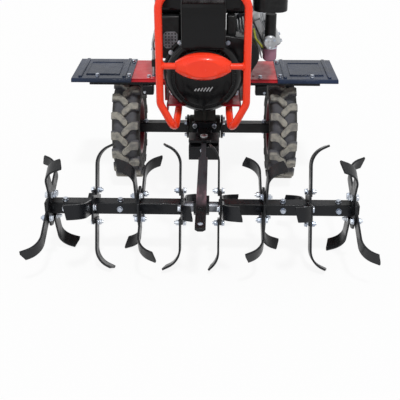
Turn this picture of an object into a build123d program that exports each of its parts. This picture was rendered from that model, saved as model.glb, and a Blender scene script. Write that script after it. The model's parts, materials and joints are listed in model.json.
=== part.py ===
# Walk-behind two-wheel tractor with a tine reel ahead of it, hinged to it by a drawbar.
# Millimetres, +Z up, front towards -Y. The origin is on the ground under the wheel axle.
import os
from math import acos, atan2, cos, degrees, radians, sin, sqrt, tan

from build123d import *

os.makedirs("parts", exist_ok=True)

# wheels
tyre_radius = 207
tyre_width = 106
tread_width = 100
lug_height = 17
lug_thickness = 24
lug_count = 16
tyre_sides = 24
crown_half = 36
half_track = 302
rim_radius = 101.5
rim_width = 88
rim_lip = 11
rim_wall = 3.5
bead_clearance = 0.3
axle_tube = 40
hub_flange_radius = 47.5
hub_flange_thickness = 9
wheel_boss_radius = 34
wheel_boss_length = 24
round_sides = 24  # sides of turned pieces such as flanges, bosses and knobs
tube_sides = 10

# gear case
case_width = 86
case_low_radius = 66
case_top_radius = 56
case_top_y = 130
axle_boss_end = 62
running_gap = 1.5
shaft_clearance = 0.1
output_shaft_radius = 17.5
output_shaft_depth = 34
case_lip = 8
bell_radius = 105
bell_front_y = -5
bell_back_y = 72

# engine
engine_base_height = 400
crank_above_base = 123
recoil_radius = 132
recoil_front_y = -330
recoil_back_y = -262
blower_margin = 12
blower_back_y = -180
crankcase_radius = 118
cylinder_tilt = 25
deck_distance = 126
fin_count = 9
fin_pitch = 11
fin_thickness = 3.5
fin_size = 142
bore_core_radius = 48
head_thickness = 28
tank_length = 330
tank_depth = 235
tank_height = 128
tank_above_crank = 199
tank_sump_width = 150
muffler_length = 150
muffler_height = 96
muffler_depth = 78

# engine base
base_plate = 8
base_half_width = 135
base_front_y = -258
base_back_y = -10
base_lip = 32
cheek_height = 80

# guard tube in front of the engine
guard_tube_radius = 13
guard_half_width = 148
guard_y = -385
guard_foot_half = 98
guard_foot_drop = 48
guard_knee_rise = 50
guard_top_rise = 450
guard_bar_radius = 11
guard_bar_rise = 185
badge_width = 188
badge_height = 94
badge_end = 32
badge_depth = 34
badge_chords = 12

# fenders and the pans that carry them
fender_rise = 58
fender_plate = 4
fender_inner = 273
fender_outer = 499
fender_lip = 14
fender_front_y = -152
fender_back_y = 102
pan_inner = 150
pan_overlap = 22
pan_plate = 4
pan_lip = 14
rail_height = 24
rail_end = 64
seat_gap = 0.3

# drawbar and its bracket
hitch_y = -205
hitch_pin_radius = 9
pin_clearance = 0.1
bracket_width = 114
bracket_plate = 10
bracket_depth = 54
bar_thickness = 12
bar_width = 33
bar_neck_width = 18
bar_neck_end_y = -365
bar_front_y = -863
bar_hole_radius = 9.5
bar_hole_rows = (-750, -836)
slot_gap = 2

# tine reel
reel_y = -658
reel_shaft_radius = 17
reel_shaft_clearance = 0.1
reel_tube = 40
reel_tube_end = 503
reel_bearing_radius = 25
reel_bearing_length = 50
reel_bearing_pad = 3
flange_size = 110
flange_thickness = 7
flange_corner = 18
blade_width = 46
blade_thickness = 6.5
blade_root = 37
blade_reach = 205
bend_radius = 60
bend_angle = 65
inner_bend_angle = 46
tip_length = 22
blade_chords = 4
blade_bar_clearance = 5

# handles
head_y = 112
pillar_height = 47
head_radius = 30
swing_pin_radius = 8
swivel_radius = 13
swivel_depth = 30
arm_tube_radius = 14
arm_spread = 265
arm_start_half = 47
grip_end_y = 863
grip_height = 935
grip_length = 118
grip_wall = 4
elbow_reach = 335
elbow_drop = 51.5
straight_length = 170

# rear hitch
hitch_fork_y = 228
hitch_bore_radius = 8.5
hitch_fork_width = 60
hitch_fork_plate = 10
hitch_low = 190
hitch_mouth = 50


def save(builder, name):
    builder.part.label = name
    export_step(builder.part, f"parts/{name}.step")


sides = (("right", -1), ("left", 1))  # machine side as the driver sees it, sign of x


# Path of a bent tube: every inner corner is rounded to its radius by a few chords.
def bent(points, radii, chords=4):
    corners = [Vector(*point) for point in points]
    path = [corners[0]]
    for before, corner, after, radius in zip(corners, corners[1:], corners[2:], radii):
        into = (corner - before).normalized()
        out = (after - corner).normalized()
        turn = acos(into.dot(out))
        start = corner - into * radius * tan(turn / 2)
        inward = (out - into * into.dot(out)).normalized()
        for index in range(chords + 1):
            angle = turn * index / chords
            path.append(start + into * radius * sin(angle) + inward * radius * (1 - cos(angle)))
    return path + [corners[-1]]


# Outline of a pressed box: a rectangle whose corners are rounded by chords.
def soft_rectangle(width, height, corner):
    with GridLocations(width - 2 * corner, height - 2 * corner, 2, 2):
        RegularPolygon(corner, 16)
    make_hull()



# Tyres: a ring between bead and tread with bars that alternate across the middle line.
tread_radius = tyre_radius - lug_height
bead_radius = rim_radius + bead_clearance
bead_half = rim_width / 2 - bead_clearance
lug_sweep = 30
lug_plan = (  # axial, along the tread: one bar, straight at the shoulder and slanted to the middle
    (tread_width / 2, 0),
    (tread_width / 2, lug_thickness),
    (24, lug_thickness),
    (-9, lug_thickness - lug_sweep),
    (-4, 4 - lug_sweep),
    (20, 0),
)
lug_reach = max(abs(along) for axial, along in lug_plan)
lug_top = sqrt(tyre_radius**2 - lug_reach**2)
shoulder_drop = 28
shoulder_length = tyre_width / 2 - crown_half
bead_outer = bead_radius + rim_lip + 2
with BuildPart() as shoulder:
    with BuildSketch():
        RegularPolygon(tread_radius, tyre_sides, major_radius=False)
    extrude(amount=shoulder_length, taper=degrees(atan2(shoulder_drop, shoulder_length)))
with BuildPart() as bead_hollow:
    with BuildSketch():
        RegularPolygon(tread_radius - shoulder_drop - 4, tyre_sides, major_radius=False)
    hollow_slope = atan2(tread_radius - shoulder_drop - 4 - bead_outer, tyre_width / 2 - bead_half)
    extrude(amount=tyre_width / 2 - bead_half, taper=degrees(hollow_slope))
with BuildPart() as tyre:
    with BuildSketch(Plane.YZ):
        RegularPolygon(tread_radius, tyre_sides, major_radius=False)
    extrude(amount=crown_half, both=True)
    for side in (-1, 1):
        add(shoulder.part.moved(Location((side * crown_half, 0, 0), (0, side * 90, 0))))
        hollow = bead_hollow.part.moved(Location((side * tyre_width / 2, 0, 0), (0, -side * 90, 0)))
        add(hollow, mode=Mode.SUBTRACT)
    with BuildSketch(Plane.YZ.offset(-tyre_width)):
        RegularPolygon(bead_radius, tyre_sides, major_radius=False)
    extrude(amount=2 * tyre_width, mode=Mode.SUBTRACT)
    for row, half in enumerate((1, -1)):
        for step in range(lug_count):
            turn = 360 / lug_count * (step + row / 2) + 4
            around = Vector(0, -sin(radians(turn)), cos(radians(turn)))
            lug_plane = Plane(origin=around * lug_top, x_dir=(half, 0, 0), z_dir=around)
            points = [(u, half * v) for u, v in lug_plan]
            with BuildSketch(lug_plane):
                with BuildLine():
                    Polyline(*points, close=True)
                make_face()
            extrude(amount=-(lug_height + 15))
axle_height = -tyre.part.bounding_box().min.Z
for name, side in sides:
    with BuildPart() as placed:
        add(tyre.part.moved(Location((side * half_track, 0, axle_height))))
    save(placed, f"tyre_{name}")

# Rims: a barrel with lips and a dished disc, bolted to the flange of the axle tube.
disc_offset = 8
dish_depth = 10
disc_bore = wheel_boss_radius + seat_gap
dish_radius = disc_bore + 24
rim_half = rim_width / 2
rim_steps = (  # start and end along the axle, radius, what the step does
    (-rim_half, rim_half, rim_radius, Mode.ADD),
    (-rim_half - rim_wall, -rim_half, rim_radius + rim_lip, Mode.ADD),
    (rim_half, rim_half + rim_wall, rim_radius + rim_lip, Mode.ADD),
    (-disc_offset, rim_half + rim_wall, rim_radius - rim_wall, Mode.SUBTRACT),
    (-rim_half - rim_wall, -disc_offset - rim_wall, rim_radius - rim_wall, Mode.SUBTRACT),
    (-disc_offset - dish_depth - rim_wall, -disc_offset, dish_radius, Mode.ADD),
    (-disc_offset - dish_depth, -disc_offset, dish_radius - rim_wall, Mode.SUBTRACT),
    (-rim_half, rim_half, disc_bore, Mode.SUBTRACT),
)
with BuildPart() as rim:
    for start, end, radius, mode in rim_steps:
        with BuildSketch(Plane.YZ.offset(start)):
            RegularPolygon(radius, tyre_sides, major_radius=False)
        extrude(amount=end - start, mode=mode)
for name, side in sides:
    with BuildPart() as placed:
        turned = rim.part if side > 0 else mirror(rim.part, Plane.YZ, mode=Mode.PRIVATE)
        add(turned.moved(Location((side * half_track, 0, axle_height))))
    save(placed, f"rim_{name}")

# Axle tubes: square tube from the gear case to the wheel disc, a flange at each end.
disc_face = half_track - disc_offset - dish_depth - rim_wall - seat_gap
flange_start = axle_boss_end + running_gap
for name, side in sides:
    axle_steps = (  # distance from the middle, length outwards, radius of the turned step
        (flange_start, hub_flange_thickness, hub_flange_radius),
        (disc_face - hub_flange_thickness, hub_flange_thickness, dish_radius - rim_wall),
        (disc_face, wheel_boss_length, wheel_boss_radius),
    )
    with BuildPart() as axle_hub:
        for distance, length, radius in axle_steps:
            plane = Plane(origin=(side * distance, 0, axle_height), x_dir=(0, 1, 0), z_dir=(side, 0, 0))
            with BuildSketch(plane):
                RegularPolygon(radius, round_sides)
            extrude(amount=length)
        tube_plane = Plane(origin=(side * flange_start, 0, axle_height), x_dir=(0, 1, 0), z_dir=(side, 0, 0))
        with BuildSketch(tube_plane):
            Rectangle(axle_tube, axle_tube)
        extrude(amount=disc_face - flange_start)
        with BuildSketch(tube_plane):
            RegularPolygon(output_shaft_radius, round_sides)
        extrude(amount=-output_shaft_depth)
    save(axle_hub, f"axle_hub_{name}")

# Gear case: two round ends joined into a leg, the clutch bell in front, the axle bosses below.
crank_height = engine_base_height + crank_above_base
head_seat = crank_height + case_top_radius + pillar_height
pad_front = -case_low_radius - 14
pad_width = 80
pad_height = 90
lip_width = 14
case_lean = Vector(case_top_y, crank_height - axle_height)
narrowing = (case_low_radius - case_top_radius) / case_lean.length
up_case = case_lean.normalized()
back_normal = Vector(up_case.Y, -up_case.X) * sqrt(1 - narrowing**2) + up_case * narrowing
case_turn = degrees(atan2(back_normal.Y, back_normal.X))
bell_neck_radius = case_top_radius + 6
bell_length = bell_back_y - bell_front_y
with BuildPart() as bell:
    with BuildSketch():
        RegularPolygon(bell_radius, round_sides)
    extrude(amount=bell_length, taper=degrees(atan2(bell_radius - bell_neck_radius, bell_length)))
with BuildPart() as gear_case:
    for width, lip in ((case_width, 0), (lip_width, case_lip)):
        with BuildSketch(Plane.YZ):
            with Locations((0, axle_height)):
                RegularPolygon(case_low_radius + lip, tyre_sides, rotation=case_turn)
            with Locations((case_top_y, crank_height)):
                RegularPolygon(case_top_radius + lip, tyre_sides, rotation=case_turn)
            make_hull()
        extrude(amount=width / 2, both=True)
    with BuildSketch(Plane.YZ):
        with Locations((0, axle_height)):
            RegularPolygon(hub_flange_radius, round_sides)
    extrude(amount=axle_boss_end, both=True)
    add(bell.part.moved(Location((0, bell_front_y, crank_height), (-90, 0, 0))))
    with Locations((0, pad_front / 2, axle_height)):
        Box(pad_width, -pad_front, pad_height)
    with BuildSketch(Plane.XY.offset(crank_height + case_top_radius - 12)):
        with Locations((0, head_y)):
            RegularPolygon(head_radius + 6, round_sides)
    extrude(amount=pillar_height + 12)
    with Locations((0, head_y, head_seat)):
        Cylinder(
            swivel_radius + shaft_clearance,
            swivel_depth + 2,
            align=(Align.CENTER, Align.CENTER, Align.MAX),
            mode=Mode.SUBTRACT,
        )
    for side in (-1, 1):
        bore_end = side * (axle_boss_end - output_shaft_depth + running_gap - 2)
        with BuildSketch(Plane(origin=(bore_end, 0, axle_height), z_dir=(side, 0, 0))):
            Circle(output_shaft_radius + shaft_clearance)
        extrude(amount=output_shaft_depth + 2, mode=Mode.SUBTRACT)
save(gear_case, "gear_case")

# Hitch bracket: flange on the gear case pad, an arm and a fork that holds the drawbar's eye.
low_blade = radians(22.5)
reel_height = blade_reach * cos(low_blade) + blade_width / 2 * sin(low_blade)
bar_bottom = reel_height + reel_bearing_radius + reel_bearing_pad
bar_top = bar_bottom + bar_thickness
fork_back = hitch_y + 40
fork_front = hitch_y - 38
fork_low = bar_bottom - slot_gap
fork_high = bar_top + slot_gap
bracket_bottom = fork_low - bracket_depth
pad_plate = 12
arm_width = 56
with BuildPart() as front_bracket:
    with Locations((0, pad_front - seat_gap - pad_plate / 2, axle_height)):
        Box(pad_width + 16, pad_plate, pad_height + 18)
    arm_back = pad_front - seat_gap - pad_plate
    with Locations((0, (arm_back + fork_back) / 2, (bracket_bottom + fork_high) / 2)):
        Box(arm_width, arm_back - fork_back, fork_high - bracket_bottom)
    with Locations((0, (fork_back + fork_front) / 2, (bracket_bottom + fork_low) / 2)):
        Box(bracket_width, fork_back - fork_front, fork_low - bracket_bottom)
    with Locations((0, (fork_back + fork_front) / 2, fork_high + bracket_plate / 2)):
        Box(bracket_width, fork_back - fork_front, bracket_plate)
    with Locations((0, fork_back - bracket_plate / 2, (fork_low + fork_high) / 2)):
        Box(bracket_width, bracket_plate, fork_high - fork_low)
    with Locations((0, hitch_y, 0)):
        Cylinder(
            hitch_pin_radius + pin_clearance,
            fork_high + 2 * bracket_plate,
            align=(Align.CENTER, Align.CENTER, Align.MIN),
            mode=Mode.SUBTRACT,
        )
save(front_bracket, "front_bracket")

# Hitch pin: round bar with a flattened dome of a head above the fork.
pin_head_radius = 15
pin_head_height = 10
pin_overhang = 16
with BuildPart() as hitch_pin:
    head_base = fork_high + bracket_plate + seat_gap
    with BuildSketch(Plane.XY.offset(bracket_bottom - pin_overhang)):
        with Locations((0, hitch_y)):
            RegularPolygon(hitch_pin_radius, round_sides)
    extrude(amount=head_base + 1 - bracket_bottom + pin_overhang)
    with BuildSketch(Plane.XY.offset(head_base)):
        with Locations((0, hitch_y)):
            RegularPolygon(pin_head_radius, round_sides)
    extrude(amount=pin_head_height, taper=35)
save(hitch_pin, "hitch_pin")

# Drawbar: flat bar with an eye for the pin, a narrow neck and a row of holes at its front.
with BuildPart() as drawbar:
    with BuildSketch(Plane.XY.offset(bar_bottom)):
        with Locations((0, hitch_y)):
            RegularPolygon(hitch_pin_radius + 11, 16)
        with Locations((0, (bar_neck_end_y + bar_front_y) / 2)):
            plate = Rectangle(bar_width, bar_neck_end_y - bar_front_y)
        chamfer(plate.vertices(), length=8)
        with Locations((0, (hitch_y + bar_neck_end_y) / 2)):
            Rectangle(bar_neck_width, hitch_y - bar_neck_end_y + 2)
        with Locations((0, hitch_y)):
            Circle(hitch_pin_radius + pin_clearance, mode=Mode.SUBTRACT)
        with Locations(*[(0, row) for row in bar_hole_rows]):
            Circle(bar_hole_radius, mode=Mode.SUBTRACT)
    extrude(amount=bar_thickness)
save(drawbar, "drawbar")

# Reel bearing: a block under the drawbar that the reel's shaft turns in.
with BuildPart() as reel_bearing:
    with BuildSketch(Plane.YZ):
        with Locations((reel_y, reel_height)):
            RegularPolygon(reel_bearing_radius, 8, major_radius=False, rotation=22.5)
        with Locations((reel_y, (reel_height + bar_bottom) / 2)):
            Rectangle(2 * reel_bearing_radius, bar_bottom - reel_height)
        with Locations((reel_y, reel_height)):
            bore_radius = reel_shaft_radius + reel_shaft_clearance
            RegularPolygon(bore_radius, tyre_sides, major_radius=False, mode=Mode.SUBTRACT)
    extrude(amount=reel_bearing_length / 2, both=True)
save(reel_bearing, "reel_bearing")

# Reel axle: a round shaft in the bearing and a square tube to each end.
flange_places = (  # distance from the middle, phase of the blades in degrees from straight down
    (62, 22.5),
    (200, -22.5),
    (345, 22.5),
    (487, -22.5),
)
tube_start = flange_places[0][0] - flange_thickness
with BuildPart() as reel_axle:
    with BuildSketch(Plane.YZ):
        with Locations((reel_y, reel_height)):
            Circle(reel_shaft_radius)
    extrude(amount=tube_start, both=True)
    for side in (-1, 1):
        with BuildSketch(Plane.YZ.offset(side * tube_start)):
            with Locations((reel_y, reel_height)):
                Rectangle(reel_tube, reel_tube)
        extrude(amount=side * (reel_tube_end - tube_start))
        with Locations((side * (reel_tube_end + 2), reel_y, reel_height)):
            Box(4, reel_tube - 4, reel_tube - 4)
save(reel_axle, "reel_axle")

# Reel flanges: square plates on the tube, their cut corners along the blades.
with BuildPart() as reel_flanges:
    for distance, phase in flange_places:
        for side in (-1, 1):
            with BuildSketch(Plane.YZ.offset(side * distance - flange_thickness / 2)):
                with Locations((reel_y, reel_height)):
                    with Locations(Rotation(0, 0, phase + 45)):
                        plate = Rectangle(flange_size, flange_size)
                    chamfer(plate.vertices(), length=flange_corner)
                    Rectangle(reel_tube + 2 * seat_gap, reel_tube + 2 * seat_gap, mode=Mode.SUBTRACT)
            extrude(amount=flange_thickness)
save(reel_flanges, "reel_flanges")


# Blades: flat bar bent sideways near its tip, bolted against the flange.
def blade_outline(angle, tip):
    outer = bend_radius + blade_thickness
    rise = outer * sin(radians(angle)) + tip * cos(radians(angle))
    straight = blade_reach - rise
    centre = Vector(straight, outer)
    turns = [radians(angle * step / blade_chords - 90) for step in range(blade_chords + 1)]
    rims = [Vector(cos(turn), sin(turn)) for turn in turns]
    ahead = Vector(cos(radians(angle)), sin(radians(angle)))
    outside = [centre + rim * outer for rim in rims]
    inside = [centre + rim * bend_radius for rim in rims]
    outside.append(outside[-1] + ahead * tip)
    inside.append(inside[-1] + ahead * tip)
    Polyline((blade_root, 0), *outside, *reversed(inside), (blade_root, blade_thickness), close=True)


inner_space = flange_places[0][0] - flange_thickness / 2 - bar_width / 2 - blade_bar_clearance
inner_turn = radians(inner_bend_angle)
inner_rise = (bend_radius + blade_thickness) * (1 - cos(inner_turn)) + blade_thickness * cos(inner_turn)
inner_tip = (inner_space - inner_rise) / sin(inner_turn)

with BuildPart() as long_blade:
    with BuildSketch(Plane.XY):
        with BuildLine():
            blade_outline(bend_angle, tip_length)
        make_face()
    extrude(amount=blade_width / 2, both=True)
with BuildPart() as inner_blade:
    with BuildSketch(Plane.XY):
        with BuildLine():
            blade_outline(inner_bend_angle, inner_tip)
        make_face()
    extrude(amount=blade_width / 2, both=True)

# flange distance, side of x, phase, then for each quarter turn from the lowest blade forwards
# the sign of x that the blade bends to
blade_turns = (
    (62, -1, 22.5, (-1, 1, -1, 1)),
    (62, 1, 22.5, (-1, 1, -1, 1)),
    (200, -1, -22.5, (-1, 1, -1, 1)),
    (200, 1, -22.5, (1, -1, 1, -1)),
    (345, -1, 22.5, (1, -1, 1, -1)),
    (345, 1, 22.5, (1, -1, 1, -1)),
    (487, -1, -22.5, (1, -1, 1, -1)),
    (487, 1, -22.5, (-1, 1, -1, 1)),
)
for name, side in sides:
    with BuildPart() as blades:
        for distance, blade_side, phase, turns in blade_turns:
            if blade_side != side:
                continue
            for quarter, turn in enumerate(turns):
                angle = radians(phase + 90 * quarter)
                radial = Vector(0, -sin(angle), -cos(angle))
                lateral = Vector(turn, 0, 0)
                face_x = side * distance + turn * flange_thickness / 2
                seat = Plane(
                    origin=(face_x, reel_y, reel_height), x_dir=radial, z_dir=radial.cross(lateral)
                )
                towards_bar = distance == flange_places[0][0] and turn == -side
                with Locations(seat):
                    add(inner_blade.part if towards_bar else long_blade.part)
    save(blades, f"tine_blades_{name}")

# Engine base: a plate under the engine with turned-down sides and two cheeks on the gear case.
base_top = engine_base_height - seat_gap
base_length = base_back_y - base_front_y
base_side = 6
cheek_plate = 10
with BuildPart() as engine_base:
    with Locations((0, (base_front_y + base_back_y) / 2, base_top - base_plate / 2)):
        Box(2 * base_half_width, base_length, base_plate)
    for side in (-1, 1):
        side_x = side * (base_half_width - base_side / 2)
        with Locations((side_x, (base_front_y + base_back_y) / 2, base_top - base_lip / 2)):
            Box(base_side, base_length, base_lip)
        cheek_inner = case_width / 2 + seat_gap
        with Locations((side * (cheek_inner + cheek_plate / 2), -20, base_top - cheek_height / 2)):
            Box(cheek_plate, 130, cheek_height)
save(engine_base, "engine_base")

# Crankcase: round body on a square foot, with the deck that the cylinder stands on.
tilt = radians(cylinder_tilt)
bore_axis = Vector(cos(tilt), 0, sin(tilt))
cylinder_y = (blower_back_y + bell_front_y) / 2
crank_centre = Vector(0, cylinder_y, crank_height)
case_back = bell_front_y - seat_gap
with BuildPart() as crankcase:
    with BuildSketch(Plane.XZ.offset(-case_back)):
        with Locations((0, crank_height)):
            RegularPolygon(crankcase_radius, round_sides)
        with Locations((0, (engine_base_height + crank_height) / 2)):
            Rectangle(2 * crankcase_radius - 20, crank_height - engine_base_height)
    extrude(amount=case_back - blower_back_y - seat_gap)
    with BuildSketch(Plane(origin=crank_centre, x_dir=(0, 1, 0), z_dir=bore_axis)):
        Rectangle(130, 124)
    extrude(amount=deck_distance)
save(crankcase, "crankcase")

# Cylinder: finned barrel and head on the deck.
fins_start = deck_distance + seat_gap
fins_length = fin_count * fin_pitch
head_start = fins_start + fins_length
with BuildPart() as cylinder:
    with BuildSketch(Plane(origin=crank_centre + bore_axis * fins_start, x_dir=(0, 1, 0), z_dir=bore_axis)):
        Rectangle(2 * bore_core_radius, 2 * bore_core_radius)
    extrude(amount=fins_length)
    for index in range(fin_count):
        start = fins_start + index * fin_pitch + fin_pitch / 2
        with BuildSketch(Plane(origin=crank_centre + bore_axis * start, x_dir=(0, 1, 0), z_dir=bore_axis)):
            Rectangle(fin_size, fin_size)
        extrude(amount=fin_thickness)
    with BuildSketch(Plane(origin=crank_centre + bore_axis * head_start, x_dir=(0, 1, 0), z_dir=bore_axis)):
        Rectangle(fin_size, fin_size)
    extrude(amount=head_thickness)
save(cylinder, "cylinder")

# Valve cover: pressed cap on the head.
cover_start = head_start + head_thickness + seat_gap
with BuildPart() as valve_cover:
    with BuildSketch(Plane(origin=crank_centre + bore_axis * cover_start, x_dir=(0, 1, 0), z_dir=bore_axis)):
        cap = Rectangle(fin_size - 22, fin_size - 34)
        chamfer(cap.vertices(), length=14)
    extrude(amount=34, taper=10)
save(valve_cover, "valve_cover")

# Blower housing: sheet shroud round the flywheel with a duct to the cylinder.
duct_distance = 142
duct_radius = 66
with BuildPart() as blower_housing:
    with BuildSketch(Plane.XZ.offset(-blower_back_y)):
        with Locations((0, crank_height)):
            RegularPolygon(recoil_radius + blower_margin, tyre_sides)
        with Locations((duct_distance * cos(tilt), crank_height + duct_distance * sin(tilt))):
            RegularPolygon(duct_radius, round_sides)
        make_hull()
        with Locations((0, engine_base_height)):
            Rectangle(4 * recoil_radius, 2 * seat_gap + 2 * base_plate, mode=Mode.SUBTRACT)
            Rectangle(4 * recoil_radius, 100, align=(Align.CENTER, Align.MAX), mode=Mode.SUBTRACT)
    extrude(amount=blower_back_y - recoil_back_y - seat_gap)
save(blower_housing, "blower_housing")

# Recoil starter: round cover on the shroud with a raised face and a ring of slots.
recoil_slots = 10
slot_ring = 84
recoil_face_radius = 60
recoil_steps = (  # length towards the front, radius at its start, drop of the radius
    (recoil_back_y - recoil_front_y - 26, recoil_radius, 0),
    (20, recoil_radius, 18),
    (6, recoil_radius - 18, recoil_radius - 18 - recoil_face_radius),
)
with BuildPart() as recoil_front:
    height = 0
    for length, radius, drop in recoil_steps:
        with BuildSketch(Plane.XY.offset(height)):
            RegularPolygon(radius, tyre_sides, major_radius=False)
        extrude(amount=length, taper=degrees(atan2(drop, length)))
        height += length
    with BuildSketch(Plane.XY.offset(height)):
        RegularPolygon(recoil_face_radius - 6, round_sides)
    extrude(amount=-8, mode=Mode.SUBTRACT)
    with BuildSketch(Plane.XY.offset(height)):
        with PolarLocations(slot_ring, recoil_slots, start_angle=18):
            Rectangle(30, 9)
    extrude(amount=-12, mode=Mode.SUBTRACT)
with BuildPart() as recoil_cover:
    add(recoil_front.part.moved(Location((0, recoil_back_y, crank_height), (90, 0, 0))))
save(recoil_cover, "recoil_cover")

# Fuel tank on its bracket over the engine, with a narrow sump over the recoil starter.
tank_y = -112
tank_x = -8
tank_bottom = crank_height + tank_above_crank
tank_front_y = tank_y - tank_depth / 2
sump_bottom = crank_height + recoil_radius + blower_margin + 4
sump_front_y = recoil_front_y - 22
apron_bottom = crank_height + recoil_radius - 24
apron_back_y = recoil_front_y - 6
with BuildPart() as fuel_tank:
    with Locations((tank_x, tank_y, tank_bottom + tank_height / 2)):
        Box(tank_length, tank_depth, tank_height)
    chamfer(fuel_tank.edges().filter_by(Axis.Z), length=26)
    chamfer(fuel_tank.faces().sort_by(Axis.Z)[-1].edges(), length=18)
    sump_section = (  # y, height: an apron hangs ahead of the starter, the sump runs back to the tank
        (sump_front_y, apron_bottom),
        (apron_back_y, apron_bottom),
        (apron_back_y, sump_bottom),
        (tank_front_y + 20, sump_bottom),
        (tank_front_y + 20, tank_bottom + 90),
        (sump_front_y + 20, tank_bottom + 90),
        (sump_front_y, tank_bottom + 60),
    )
    with BuildSketch(Plane.YZ.offset(-tank_sump_width / 2)):
        with BuildLine():
            Polyline(*sump_section, close=True)
        make_face()
    extrude(amount=tank_sump_width)
save(fuel_tank, "fuel_tank")

bracket_sheet = 6
with BuildPart() as tank_bracket:
    bracket_top = tank_bottom - seat_gap
    bracket_foot = crank_height + crankcase_radius + seat_gap
    with Locations((tank_x, tank_y, bracket_top - 2)):
        Box(150, 150, 4)
    for side in (-1, 1):
        with Locations((tank_x, tank_y + side * 45, (bracket_top + bracket_foot) / 2)):
            Box(90, bracket_sheet, bracket_top - bracket_foot)
save(tank_bracket, "tank_bracket")

with BuildPart() as fuel_cap:
    with BuildSketch(Plane.XY.offset(tank_bottom + tank_height + seat_gap)):
        with Locations((tank_x + 62, tank_y)):
            RegularPolygon(34, round_sides)
    extrude(amount=22, taper=6)
save(fuel_cap, "fuel_cap")

# Carburettor ahead of the cylinder head, and the air cleaner above it.
head_middle = crank_centre + bore_axis * (head_start + head_thickness / 2)
head_front_y = cylinder_y - fin_size / 2
carburettor_y = head_front_y - 34
carburettor_x = head_middle.X + 18
intake_top = tank_bottom + 12
with BuildPart() as carburettor:
    with Locations((carburettor_x, (head_front_y - seat_gap + carburettor_y) / 2, head_middle.Z)):
        Box(52, head_front_y - seat_gap - carburettor_y, 44)
    for radius, low, high in ((25, head_middle.Z - 74, head_middle.Z - 14), (20, head_middle.Z - 22, intake_top)):
        with BuildSketch(Plane.XY.offset(low)):
            with Locations((carburettor_x, carburettor_y)):
                RegularPolygon(radius, round_sides)
        extrude(amount=high - low)
save(carburettor, "carburettor")

with BuildPart() as air_cleaner:
    with BuildSketch(Plane.XY.offset(intake_top + seat_gap)):
        with Locations((carburettor_x - 4, carburettor_y + 20)):
            soft_rectangle(118, 150, 40)
    extrude(amount=96)
    chamfer(air_cleaner.faces().sort_by(Axis.Z)[-1].edges(), length=15)
save(air_cleaner, "air_cleaner")

# Muffler behind the cylinder head, with a slotted sheet guard on its rear face.
head_back_y = cylinder_y + fin_size / 2
muffler_front = head_back_y + 34
muffler_x = head_middle.X - 34
with BuildPart() as muffler:
    with BuildSketch(Plane.XZ.offset(-muffler_front)):
        with Locations((muffler_x, head_middle.Z)):
            soft_rectangle(muffler_length, muffler_height, 36)
    extrude(amount=-muffler_depth)
    with BuildSketch(Plane.XZ.offset(-head_back_y - seat_gap)):
        with Locations((head_middle.X, head_middle.Z)):
            RegularPolygon(20, round_sides)
    extrude(amount=-(muffler_front - head_back_y))
save(muffler, "muffler")

with BuildPart() as muffler_guard:
    with BuildSketch(Plane.XZ.offset(-(muffler_front + muffler_depth + seat_gap))):
        with Locations((muffler_x, head_middle.Z)):
            sheet = Rectangle(muffler_length + 14, muffler_height + 14)
            chamfer(sheet.vertices(), length=20)
            with GridLocations(30, 20, 4, 4):
                Rectangle(20, 8, mode=Mode.SUBTRACT)
    extrude(amount=-3)
save(muffler_guard, "muffler_guard")

# Guard tube: one bent loop in front of the engine with a cross bar.
guard_foot_height = engine_base_height - guard_foot_drop
guard_knee_height = engine_base_height + guard_knee_rise
guard_top_height = engine_base_height + guard_top_rise
guard_bar_height = engine_base_height + guard_bar_rise
foot_x = guard_foot_half - 6
foot_seat = base_top - base_plate - seat_gap - guard_tube_radius
right_half = (
    (-foot_x, base_front_y + 20, foot_seat),
    (-foot_x, base_front_y - 46, foot_seat),
    (-guard_foot_half, guard_y, guard_foot_height),
    (-guard_half_width, guard_y, guard_knee_height),
    (-guard_half_width, guard_y, guard_top_height - guard_tube_radius),
)
left_half = [(-x, y, z) for x, y, z in reversed(right_half)]
bends = (30, 26, 45, 60)
with BuildPart() as bumper:
    with BuildLine() as loop:
        Polyline(*bent((*right_half, *left_half), (*bends, *reversed(bends)), chords=3))
    with BuildSketch(Plane(origin=loop.line @ 0, z_dir=loop.line % 0)):
        RegularPolygon(guard_tube_radius, tube_sides, rotation=18)
    sweep(path=loop.line, transition=Transition.RIGHT)
    with BuildSketch(Plane.YZ):
        with Locations((guard_y, guard_bar_height)):
            RegularPolygon(guard_bar_radius, tube_sides)
    extrude(amount=guard_half_width - 4, both=True)
save(bumper, "bumper")

# Oval boss round the cross bar: three tapering steps with blunt ends, grooved for the bar.
badge_steps = (  # inset of the outline, start and depth towards the front, slope of the wall
    (0, 0, 16, 12),
    (7, 16, 9, 45),
    (22, 25, badge_depth - 25, 60),
)
with BuildPart() as boss:
    for inset, start, depth, slope in badge_steps:
        half_width = badge_width / 2 - inset
        half_height = badge_height / 2 - inset
        half_end = max(badge_end / 2 - inset, 1)
        rise = half_height - half_end
        rounds = [radians(180 * step / badge_chords) for step in range(badge_chords + 1)]
        upper = [Vector(half_width * cos(turn), half_end + rise * sin(turn)) for turn in rounds]
        lower = [-point for point in upper]
        with BuildSketch(Plane.XY.offset(start)):
            with BuildLine():
                Polyline(*upper, *lower, close=True)
            make_face()
        extrude(amount=depth, taper=slope)
    with BuildSketch(Plane.YZ):
        RegularPolygon(guard_bar_radius + seat_gap, tube_sides, rotation=90)
    extrude(amount=badge_width, both=True, mode=Mode.SUBTRACT)
with BuildPart() as bumper_badge:
    add(boss.part.moved(Location((0, guard_y, guard_bar_height), (90, 0, 0))))
save(bumper_badge, "bumper_badge")

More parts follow.
